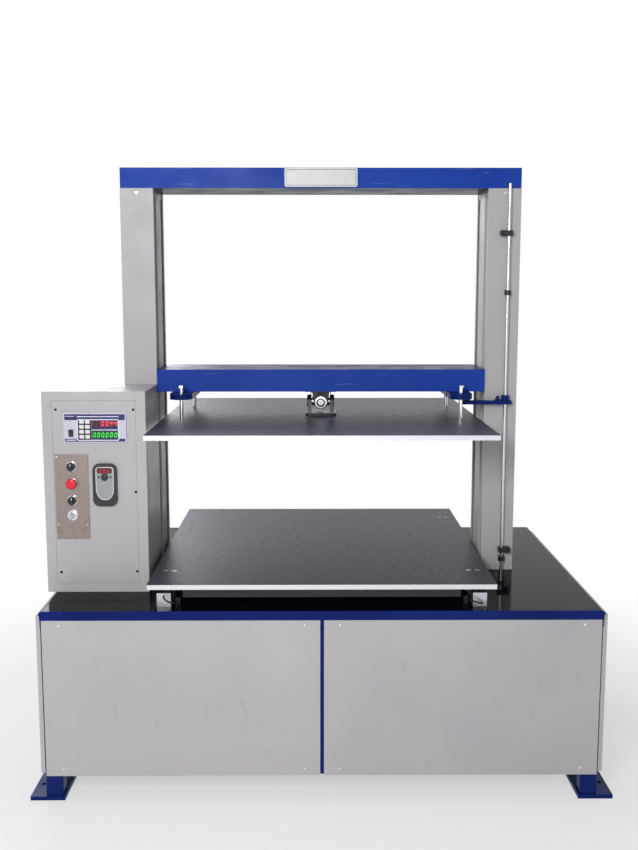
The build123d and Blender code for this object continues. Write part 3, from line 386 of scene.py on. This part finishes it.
def plastic(name, colour, worn, roughness, grain=0.00002, specular=0.45):
    """Moulded plastic with a fine grain and a slightly rubbed tone."""
    finish = Finish(name, colour, roughness, specular=specular)
    finish.tint(finish.remap(finish.noise(45.0, 4.0), 0.5, 0.78, 0.0, 0.5), worn)
    finish.rough(finish.noise(80.0, 3.0), roughness - 0.05, roughness + 0.08)
    finish.relief(finish.noise(1500.0, 1.0), grain)
    return finish


def black_plastic():
    return plastic("black_plastic", tone(28, 28, 31), tone(50, 50, 54), 0.32).material


def red_plastic():
    finish = plastic("red_plastic", tone(232, 22, 44), tone(205, 12, 32), 0.2, 0.000005)
    finish.shader.inputs["Coat Weight"].default_value = 0.3
    return finish.material


def white_plastic():
    return plastic("white_plastic", tone(232, 230, 230), tone(200, 200, 206), 0.4).material


def indicator_plastic():
    return plastic("indicator_plastic", tone(206, 204, 222), tone(186, 184, 208), 0.38).material


def keypad_plastic():
    return plastic("keypad_plastic", tone(34, 34, 38), tone(64, 64, 70), 0.4, 0.00004).material


def rubber():
    return plastic("rubber", tone(24, 24, 26), tone(48, 47, 48), 0.55, 0.00004).material


makers = (light_grey_paint, blue_paint, dark_blue_gloss, platen_steel, ground_steel, dark_steel,
          chrome, aluminium, stainless, bronze, cast_grey, black_plastic, red_plastic,
          white_plastic, indicator_plastic, keypad_plastic, rubber)
looks = {make.__name__: make() for make in makers}

frame_blue = paint("frame_blue", tone(20, 40, 110), tone(14, 28, 84), 0.36, 0.08).material
# Pieces whose look differs a little from the rest of their slot.
special = {"base_frame": frame_blue, "foot_plates": frame_blue, "crosshead_lugs": frame_blue,
           "trip_arm": frame_blue, "platen_bearers": looks["dark_steel"]}

for part in frame["record"]["subparts"]:
    materials = frame["nodes"][part["node"]].data.materials
    materials.clear()
    materials.append(special.get(part["node"], looks[part["material_slot"]]))

film_navy = plastic("film_navy", tone(30, 30, 96), tone(22, 22, 74), 0.35).material
film_dark = plastic("film_dark", tone(24, 24, 48), tone(34, 34, 60), 0.3).material
film_pale = plastic("film_pale", tone(226, 224, 240), tone(206, 204, 226), 0.4).material
plate_pale = plastic("plate_pale", tone(226, 226, 222), tone(204, 204, 204), 0.35).material
plate_line = plastic("plate_line", tone(120, 122, 140), tone(100, 102, 124), 0.4).material
silver_plastic = plastic("silver_plastic", tone(160, 163, 168), tone(140, 143, 150), 0.34,
                         0.00003).material
silver_rim = plastic("silver_rim", tone(226, 227, 232), tone(200, 201, 208), 0.22).material


def display_glass(name, colour, glow, strength):
    """A tinted display piece with light of its own: lit digits, and windows whose faint glow is painted
    glow from the digits.
    """
    finish = plastic(name, colour, colour, 0.18, 0.000002)
    finish.glow(glow, strength)
    return finish.material


# The three windows' glow is painted glow standing in for the spill of the lit digits; the three lights
# below are the lit digits themselves.
red_window = display_glass("red_window", tone(48, 34, 46), tone(150, 20, 40), 0.12)
green_window = display_glass("green_window", tone(26, 52, 40), tone(20, 110, 40), 0.12)
drive_window = display_glass("drive_window", tone(62, 22, 34), tone(120, 16, 36), 0.25)
red_light = display_glass("red_light", tone(255, 70, 96), tone(255, 64, 92), 0.9)
green_light = display_glass("green_light", tone(60, 220, 70), tone(66, 226, 80), 0.7)
dim_red_light = display_glass("dim_red_light", tone(190, 40, 62), tone(196, 44, 70), 0.4)


# Shapes

SMOOTH_ANGLE = math.radians(40.0)


def piece(name, bm, look, body):
    """Makes an object of the mesh, gives it a material and joins it to a body."""
    mesh = bpy.data.meshes.new(name)
    bmesh.ops.recalc_face_normals(bm, faces=bm.faces)
    bm.to_mesh(mesh)
    bm.free()
    made = bpy.data.objects.new(name, mesh)
    bpy.context.scene.collection.objects.link(made)
    mesh.materials.append(look)
    mesh.shade_smooth()
    mesh.set_sharp_from_angle(angle=SMOOTH_ANGLE)
    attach(made, body)
    return made


def rounded_outline(x0, x1, z0, z1, radius, steps=5):
    """Corners of an upright rectangle with rounded corners, as (x, z) points."""
    points = []
    for cx, cz, start in ((x1 - radius, z1 - radius, 0), (x0 + radius, z1 - radius, 90),
                          (x0 + radius, z0 + radius, 180), (x1 - radius, z0 + radius, 270)):
        for step in range(steps + 1):
            angle = math.radians(start + 90 * step / steps)
            points.append((cx + radius * math.cos(angle), cz + radius * math.sin(angle)))
    return points


def add_slab(bm, outline, front, back, bevel=0.0):
    """A plate that faces the front, between two values of y, with its front edge bevelled."""
    back_ring = [bm.verts.new((x, back, z)) for x, z in outline]
    front_ring = [bm.verts.new((x, front, z)) for x, z in outline]
    count = len(outline)
    bm.faces.new(back_ring)
    face = bm.faces.new(front_ring)
    for i in range(count):
        j = (i + 1) % count
        bm.faces.new((back_ring[i], back_ring[j], front_ring[j], front_ring[i]))
    if bevel:
        bmesh.ops.bevel(bm, geom=list(face.edges), offset=bevel, segments=2, affect="EDGES")


def slab(name, outline, front, back, look, body="frame", bevel=0.0):
    bm = bmesh.new()
    add_slab(bm, outline, front, back, bevel)
    return piece(name, bm, look, body)


def band(x0, x1, z0, z1):
    """A rectangle with barely rounded corners, for printed fields and windows."""
    return rounded_outline(x0, x1, z0, z1, 0.4 * MM, 3)


def circle(x, z, radius, steps=32):
    """Corners of a circle about (x, z), as (x, z) points."""
    turns = [2 * math.pi * k / steps for k in range(steps)]
    return [(x + radius * math.cos(turn), z + radius * math.sin(turn)) for turn in turns]


def frame_line(name, outer, width, front, back, look, body="frame"):
    """A closed line of even width along the inside of an outline."""
    middle = Vector((sum(x for x, z in outer) / len(outer), sum(z for x, z in outer) / len(outer)))
    bm = bmesh.new()
    rings = []
    for y, inset in ((back, 0.0), (front, 0.0), (front, width), (back, width)):
        ring = []
        for i, (x, z) in enumerate(outer):
            before, after = Vector(outer[i - 1]), Vector(outer[(i + 1) % len(outer)])
            along = (after - before).normalized()
            inward = Vector((-along.y, along.x))
            if inward.dot(middle - Vector((x, z))) < 0:
                inward = -inward
            at = Vector((x, z)) + inward * inset
            ring.append(bm.verts.new((at.x, y, at.y)))
        rings.append(ring)
    for ring, following in zip(rings, rings[1:] + rings[:1]):
        for i in range(len(outer)):
            j = (i + 1) % len(outer)
            bm.faces.new((ring[i], ring[j], following[j], following[i]))
    return piece(name, bm, look, body)


def pan_head_mesh(radius, height):
    """A domed screw head with a cross recess, on the XZ plane, facing -Y."""
    bm = bmesh.new()
    # Share of the radius and of the height at each ring of the dome.
    profile = ((0.35, 0.97), (0.62, 0.86), (0.84, 0.62), (0.97, 0.28), (1.0, 0.0))
    segments, recess_reach, recess_depth, arm_sharpness = 24, 0.7, 0.45, 0.86
    rings = []
    for share, lift in profile:
        ring = []
        for k in range(segments):
            angle = 2 * math.pi * k / segments
            arm = abs(math.cos(2 * angle)) > arm_sharpness and share < recess_reach
            depth = recess_depth * height if arm else 0.0
            ring.append(bm.verts.new((share * radius * math.cos(angle), -lift * height + depth,
                                      share * radius * math.sin(angle))))
        rings.append(ring)
    tip = bm.verts.new((0.0, -0.5 * height, 0.0))
    for k in range(segments):
        bm.faces.new((tip, rings[0][k], rings[0][(k + 1) % segments]))
        for inner, outer in zip(rings, rings[1:]):
            bm.faces.new((inner[k], inner[(k + 1) % segments], outer[(k + 1) % segments], outer[k]))
    bm.faces.new(rings[-1])
    return bm


def screws(name, places, face, radius, height, slot):
    """Pan head screws at (x, z) places on a face that looks to the front."""
    for n, (x, z) in enumerate(places, 1):
        bm = pan_head_mesh(radius, height)
        bmesh.ops.translate(bm, verts=bm.verts, vec=(x, face, z))
        piece(f"{name}_{n}", bm, looks[slot], "frame")


# Bars of each digit, lettered clockwise from the top with the middle one last.
SEGMENTS = {"0": "abcdef", "4": "fgbc"}
DIGIT_LEAN = 0.12
DIGIT_THICKNESS = 0.2 * MM


def segment_outlines(x, z, width, height, bar):
    """Outline of each bar of a seven-segment digit whose middle is at (x, z)."""
    half_w, half_h, gap = width / 2 - bar / 2, height / 2 - bar / 2, bar * 0.12
    ends = {"a": ((-half_w, half_h), (half_w, half_h)), "d": ((-half_w, -half_h), (half_w, -half_h)),
            "g": ((-half_w, 0), (half_w, 0)), "f": ((-half_w, 0), (-half_w, half_h)),
            "b": ((half_w, 0), (half_w, half_h)), "e": ((-half_w, -half_h), (-half_w, 0)),
            "c": ((half_w, -half_h), (half_w, 0))}
    outlines = {}
    for letter, (start, end) in ends.items():
        start, end = Vector(start), Vector(end)
        along = (end - start).normalized()
        side = Vector((-along.y, along.x)) * bar / 2
        start, end = start + along * gap, end - along * gap
        corner = along * bar / 2
        shape = (start, start + corner + side, end - corner + side, end,
                 end - corner - side, start + corner - side)
        outlines[letter] = [(x + p.x + DIGIT_LEAN * p.y, z + p.y) for p in shape]
    return outlines


def digits(name, text, x0, pitch, z, width, height, front, look):
    """A row of lit seven-segment digits, with a point after each digit that asks for one."""
    bar = height * 0.15
    bm = bmesh.new()
    slot_number = -1
    for letter in text:
        if letter == ".":
            px, pz = x0 + slot_number * pitch + width * 0.78, z - height / 2 + bar / 2
            add_slab(bm, rounded_outline(px - bar / 2, px + bar / 2, pz - bar / 2, pz + bar / 2,
                                         bar * 0.4, 3), front, front + DIGIT_THICKNESS)
            continue
        slot_number += 1
        outlines = segment_outlines(x0 + slot_number * pitch, z, width, height, bar)
        for part in SEGMENTS[letter]:
            add_slab(bm, outlines[part], front, front + DIGIT_THICKNESS)
    piece(name, bm, look, "frame")


# Load cell leads

LEAD_DIAMETER = 5.0 * MM
CELL_X, CELL_FRONT, BASE_TOP, REAR_STEP = 453.0 * MM, -472.0 * MM, 565.0 * MM, 705.0 * MM
# Steps inward, forward and up from the middle of the cell's end, as the model has them.
LEFT_ROUTE = ((0, 0, 32), (0, 13, 32), (8, 23, 27), (20, 26, 21), (31, 18, 16.5), (36, 5, 14),
              (36.5, -9, 13), (36.5, -23, 13))
RIGHT_ROUTE = ((-6, 0, 13), (-6, 13, 13), (2, 23, 16.5), (14, 26, 21), (26, 19, 23), (34, 7, 21),
               (36.5, -7, 17), (36.5, -21, 17))


def lead(name, route, side, rear):
    """One lead: a smooth line from the end of its cell into its gland."""
    points = [Vector((side * (CELL_X - inward * MM), CELL_FRONT - forward * MM + rear * REAR_STEP,
                      BASE_TOP + up * MM)) for inward, forward, up in route]
    data = bpy.data.curves.new(name, "CURVE")
    data.dimensions = "3D"
    spline = data.splines.new("NURBS")
    spline.points.add(len(points) - 1)
    for control, at in zip(spline.points, points):
        control.co = (at.x, at.y, at.z, 1.0)
    spline.order_u = 3
    spline.use_endpoint_u = True
    spline.resolution_u = 8
    data.bevel_depth = LEAD_DIAMETER / 2
    data.bevel_resolution = 4
    data.use_fill_caps = True
    data.materials.append(looks["rubber"])
    made = bpy.data.objects.new(name, data)
    bpy.context.scene.collection.objects.link(made)
    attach(made, "frame")
    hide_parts("load_cell_leads")


for place, rear in (("front", 0), ("rear", 1)):
    lead(f"{place}_left_lead", LEFT_ROUTE, -1, rear)
    lead(f"{place}_right_lead", RIGHT_ROUTE, 1, rear)


# Load indicator

low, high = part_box("load_indicator")
IND_X, IND_Z = (low.x + high.x) / 2, (low.z + high.z) / 2
IND_LEFT, IND_RIGHT, IND_FOOT, IND_TOP = low.x, high.x, low.z, high.z
IND_FACE = low.y
FILM = 0.25 * MM
WINDOW_LEFT, WINDOW_RIGHT = IND_X - 10.0 * MM, IND_X + 67.0 * MM
WINDOW_FOOT, WINDOW_TOP = IND_Z - 35.5 * MM, IND_Z + 22.5 * MM
WINDOW_DEPTH, WINDOW_SINK = 1.5 * MM, 0.3 * MM
KEY_FIELD_WIDTH, KEY_GAP, KEY_CORNER = 39.0 * MM, 0.4 * MM, 2.0 * MM
PRINT_SIDE, PRINT_TOP, PRINT_FOOT = 3.5 * MM, 4.5 * MM, 3.0 * MM
HEADER_DEPTH, FOOT_HEIGHT = 22.0 * MM, 9.0 * MM
OUTLINE_WIDTH, OUTLINE_CORNER = 3.2 * MM, 6.0 * MM
STRIP_TOP, STRIP_FOOT = IND_Z + 0.6 * MM, IND_Z - 9.0 * MM
STRIP_PROUD, DIGIT_PROUD = 0.1 * MM, 0.2 * MM
DIGIT_PITCH, DIGIT_WIDTH, DIGIT_HEIGHT = 12.4 * MM, 8.2 * MM, 14.5 * MM
LAST_DIGIT_X = WINDOW_RIGHT - 6.5 * MM
RED_DIGIT_Z, GREEN_DIGIT_Z = IND_Z + 12.2 * MM, IND_Z - 21.5 * MM


def printed(name, x0, x1, z0, z1, look, layer=1):
    """A printed field of the indicator's face; each layer lies on the one before."""
    slab(name, band(x0, x1, z0, z1), IND_FACE - layer * FILM, IND_FACE - (layer - 1) * FILM,
         look)


def key_field():
    """The dark field round the keys, cut out for each cap."""
    bm = bmesh.new()
    outlines = [band(WINDOW_LEFT - KEY_FIELD_WIDTH, WINDOW_LEFT, WINDOW_FOOT, WINDOW_TOP)]
    for n in range(1, 9):
        cap_low, cap_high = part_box(f"indicator_key_{n}")
        outlines.append(rounded_outline(cap_low.x - KEY_GAP, cap_high.x + KEY_GAP,
                                        cap_low.z - KEY_GAP, cap_high.z + KEY_GAP, KEY_CORNER, 3))
    edges = []
    for outline in outlines:
        ring = [bm.verts.new((x, IND_FACE - FILM, z)) for x, z in outline]
        edges += [bm.edges.new((ring[i - 1], ring[i])) for i in range(len(ring))]
    front = bmesh.ops.triangle_fill(bm, use_beauty=True, edges=edges)
    faces = [g for g in front["geom"] if isinstance(g, bmesh.types.BMFace)]
    back = bmesh.ops.extrude_face_region(bm, geom=faces)
    moved = [g for g in back["geom"] if isinstance(g, bmesh.types.BMVert)]
    bmesh.ops.translate(bm, verts=moved, vec=(0.0, FILM, 0.0))
    piece("indicator_key_field", bm, film_dark, "frame")


def indicator_face():
    """The printed face: header band, foot line and the outline round keys and displays."""
    x0, x1 = IND_LEFT + PRINT_SIDE, IND_RIGHT - PRINT_SIDE
    top, foot = IND_TOP - PRINT_TOP, IND_FOOT + PRINT_FOOT
    outline_left, outline_right = WINDOW_LEFT - 43.5 * MM, WINDOW_RIGHT + 5.0 * MM
    outline_foot, outline_top = WINDOW_FOOT - 3.5 * MM, WINDOW_TOP + 3.0 * MM
    printed("indicator_header", x0, x1, IND_TOP - HEADER_DEPTH, top, film_navy)
    printed("indicator_header_line", x0 + 37.0 * MM, x1 - 18.0 * MM, top - 8.4 * MM, top - 5.8 * MM,
            film_pale, 2)
    printed("indicator_header_tab", x0 + 2.0 * MM, x0 + 29.0 * MM, top - 7.0 * MM, top - 5.4 * MM,
            film_pale, 2)
    printed("indicator_foot", x0, x1, foot, foot + FOOT_HEIGHT, film_navy)
    printed("indicator_foot_line", x0 + 4.0 * MM, outline_left - 1.5 * MM, foot + 3.4 * MM,
            foot + 6.0 * MM, film_pale, 2)
    ring = rounded_outline(outline_left, outline_right, outline_foot, outline_top, OUTLINE_CORNER)
    frame_line("indicator_outline", ring, OUTLINE_WIDTH, IND_FACE - 3 * FILM, IND_FACE, film_pale)
    key_field()


def display_windows():
    """Two tinted windows in the recess, the strip between them and their lit digits."""
    back, front = IND_FACE + WINDOW_DEPTH, IND_FACE + WINDOW_SINK
    strip = front - STRIP_PROUD
    for name, foot, top, face, look in (
            ("red_display", STRIP_TOP, WINDOW_TOP, front, red_window),
            ("green_display", WINDOW_FOOT, STRIP_FOOT, front, green_window),
            ("display_strip", STRIP_FOOT, STRIP_TOP, strip, film_navy)):
        slab(name, band(WINDOW_LEFT, WINDOW_RIGHT, foot, top), face, back, look)
    line = band(WINDOW_LEFT, WINDOW_RIGHT, STRIP_FOOT + 1.0 * MM, STRIP_FOOT + 3.6 * MM)
    slab("display_strip_line", line, front - 0.3 * MM, strip, film_pale)
    for name, text, z, look in (("red_digits", "00.44", RED_DIGIT_Z, red_light),
                                ("green_digits", "000.000", GREEN_DIGIT_Z, green_light)):
        first = LAST_DIGIT_X - (len(text) - 2) * DIGIT_PITCH
        digits(name, text, first, DIGIT_PITCH, z, DIGIT_WIDTH, DIGIT_HEIGHT, front - DIGIT_PROUD, look)


indicator_face()
display_windows()


# Drive keypad

low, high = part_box("drive_keypad")
PAD_X, PAD_Z = (low.x + high.x) / 2, (low.z + high.z) / 2
PAD_FACE = low.y
SHIELD_HALF, SHIELD_TOP, SHIELD_FOOT, SHIELD_WAIST = 26.5 * MM, 54.5 * MM, -45.0 * MM, -8.0 * MM
SHIELD_CORNER, SHIELD_ROUNDNESS, SHIELD_STEPS = 9.0 * MM, 0.8, 24
SHIELD_FACE, RIM_FACE, RIM_WIDTH = PAD_FACE - 0.8 * MM, PAD_FACE - 1.3 * MM, 2.2 * MM
DISPLAY_FACE, DISPLAY_CORNER = PAD_FACE - 1.2 * MM, 5.0 * MM
RING_FACE, RING_WIDTH, RING_GAP = PAD_FACE - 1.6 * MM, 3.0 * MM, 0.4 * MM
SIDE_KEY_REACH, SIDE_KEY_HALF, SIDE_KEY_RISE, SIDE_KEY_CORNER = 17.0 * MM, 2.6 * MM, 3.4 * MM, 1.8 * MM


def shield_outline(inset):
    """Outline of the silver face: a flat top with rounded corners and a U-shaped foot."""
    half, top, foot = SHIELD_HALF - inset, SHIELD_TOP - inset, SHIELD_FOOT + inset
    corner = SHIELD_CORNER - inset
    points = []
    for cx, start in ((half - corner, 0), (-half + corner, 90)):
        for step in range(6):
            angle = math.radians(start + 18 * step)
            points.append((cx + corner * math.cos(angle), top - corner + corner * math.sin(angle)))
    depth = SHIELD_WAIST - foot
    for step in range(SHIELD_STEPS + 1):
        angle = math.pi + math.pi * step / SHIELD_STEPS
        reach = math.copysign(abs(math.cos(angle)) ** SHIELD_ROUNDNESS, math.cos(angle))
        points.append((half * reach, SHIELD_WAIST + depth * math.sin(angle)))
    return [(PAD_X + x, PAD_Z + z) for x, z in points]


def keypad_face():
    """Silver face with a bright rim, the display, a ring round the knob and a key on each side."""
    slab("keypad_shield", shield_outline(0.8 * MM), SHIELD_FACE, PAD_FACE, silver_plastic,
         bevel=0.3 * MM)
    frame_line("keypad_rim", shield_outline(0.0), RIM_WIDTH, RIM_FACE, PAD_FACE, silver_rim)
    window = rounded_outline(PAD_X - 22.5 * MM, PAD_X + 22.0 * MM, PAD_Z + 35.0 * MM,
                             PAD_Z + 51.5 * MM, DISPLAY_CORNER)
    slab("keypad_window", window, DISPLAY_FACE, SHIELD_FACE, drive_window,
         bevel=0.15 * MM)
    digits("keypad_digits", "00.0", PAD_X - 12.0 * MM, 11.5 * MM, PAD_Z + 43.0 * MM, 6.5 * MM,
           10.5 * MM, PAD_FACE - 1.4 * MM, dim_red_light)
    knob_low, knob_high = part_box("keypad_knob")
    knob_x, knob_z = (knob_low.x + knob_high.x) / 2, (knob_low.z + knob_high.z) / 2
    hole = circle(knob_x, knob_z, (knob_high.x - knob_low.x) / 2 + RING_GAP, 24)
    frame_line("keypad_pad_ring", hole, -RING_WIDTH, RING_FACE, SHIELD_FACE, looks["keypad_plastic"])
    for name, x in (("left", PAD_X - SIDE_KEY_REACH), ("right", PAD_X + SIDE_KEY_REACH)):
        key = rounded_outline(x - SIDE_KEY_HALF, x + SIDE_KEY_HALF, knob_z - SIDE_KEY_RISE,
                              knob_z + SIDE_KEY_RISE, SIDE_KEY_CORNER)
        slab(f"keypad_side_key_{name}", key, PAD_FACE - 1.8 * MM, SHIELD_FACE,
             looks["black_plastic"], bevel=0.3 * MM)


keypad_face()


# Caps of the universal joint and index lines of the selectors

CAP_GROOVE_RADIUS, CAP_GROOVE_WIDTH, CAP_DISC_RADIUS = 14.0 * MM, 4.5 * MM, 8.5 * MM
CAP_DISC_PROUD, NIPPLE_RADIUS, NIPPLE_PROUD = 0.8 * MM, 2.6 * MM, 4.5 * MM
INDEX_HALF, INDEX_START, INDEX_END, THIN = 0.9 * MM, 2.0 * MM, 10.0 * MM, 0.3 * MM


def joint_cap():
    """The front cup's cap: a dark ring of painted shade for its groove, a raised disc and a grease
    nipple.
    """
    low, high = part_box("bearing_cups")
    x, z, face = (low.x + high.x) / 2, (low.z + high.z) / 2, low.y
    # Painted shade: a thin dark ring stands in for the shade in the cap's groove.
    frame_line("joint_cap_groove_shade", circle(x, z, CAP_GROOVE_RADIUS), CAP_GROOVE_WIDTH, face - THIN, face,
               looks["dark_steel"], "crosshead")
    slab("joint_cap_disc", circle(x, z, CAP_DISC_RADIUS), face - CAP_DISC_PROUD, face,
         looks["ground_steel"], "crosshead", bevel=0.3 * MM)
    slab("joint_cap_nipple", circle(x, z, NIPPLE_RADIUS, 16), face - NIPPLE_PROUD,
         face - CAP_DISC_PROUD, looks["bronze"], "crosshead", bevel=0.8 * MM)


def selector_index(name):
    """A pale line along the upper end of a selector's grip."""
    low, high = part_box(name)
    x, z, face = (low.x + high.x) / 2, (low.z + high.z) / 2, low.y
    line = band(x - INDEX_HALF, x + INDEX_HALF, z + INDEX_START, z + INDEX_END)
    slab(f"{name}_index", line, face - THIN, face, looks["white_plastic"], name)


joint_cap()
selector_index("upper_selector")
selector_index("lower_selector")


# Bare nameplate on the top beam

low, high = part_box("top_beam")
PLATE_HALF, PLATE_FOOT, PLATE_TOP = 112.5 * MM, low.z + 4.0 * MM, high.z - 1.0 * MM
PLATE_CORNER, BORDER_CORNER = 6.0 * MM, 5.0 * MM
PLATE_FACE, BORDER_FACE = low.y - 1.0 * MM, low.y - 1.2 * MM
BORDER_INSET, BORDER_WIDTH = 4.0 * MM, 1.6 * MM
slab("nameplate", rounded_outline(-PLATE_HALF, PLATE_HALF, PLATE_FOOT, PLATE_TOP, PLATE_CORNER),
     PLATE_FACE, low.y, plate_pale, bevel=0.3 * MM)
border = rounded_outline(-PLATE_HALF + BORDER_INSET, PLATE_HALF - BORDER_INSET, PLATE_FOOT + BORDER_INSET,
                         PLATE_TOP - BORDER_INSET, BORDER_CORNER)
frame_line("nameplate_border", border, BORDER_WIDTH, BORDER_FACE, PLATE_FACE, plate_line)


# Screws of the door, the drive and the stainless plate

DOOR_SCREWS = ((-781.4, 1116.9), (-553.8, 1116.6), (-551.5, 870.0), (-780.6, 626.0), (-553.0, 628.0))
DRIVE_SCREWS = ((-593.4, 957.7), (-594.4, 829.3), (-687.1, 828.8))
DOOR_SCREW_RADIUS, DOOR_SCREW_HEIGHT = 4.0 * MM, 2.2 * MM
DRIVE_SCREW_RADIUS, PLATE_SCREW_RADIUS, SMALL_SCREW_HEIGHT = 2.8 * MM, 3.0 * MM, 1.8 * MM
PLATE_SCREW_LEFT, PLATE_SCREW_RIGHT = 6.5 * MM, 7.5 * MM
PLATE_SCREW_DROP, PLATE_SCREW_RISE = 8.0 * MM, 44.0 * MM

door_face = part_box("cabinet_door")[0].y
screws("door_screw", [(x * MM, z * MM) for x, z in DOOR_SCREWS], door_face, DOOR_SCREW_RADIUS,
       DOOR_SCREW_HEIGHT, "dark_steel")
screws("drive_screw", [(x * MM, z * MM) for x, z in DRIVE_SCREWS], door_face, DRIVE_SCREW_RADIUS,
       SMALL_SCREW_HEIGHT, "ground_steel")
low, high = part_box("control_plate")
left, right = low.x + PLATE_SCREW_LEFT, high.x - PLATE_SCREW_RIGHT
head, foot = high.z - PLATE_SCREW_DROP, low.z + PLATE_SCREW_RISE
screws("plate_screw", ((left, head), (right, foot), (left, foot)), low.y, PLATE_SCREW_RADIUS,
       SMALL_SCREW_HEIGHT, "chrome")
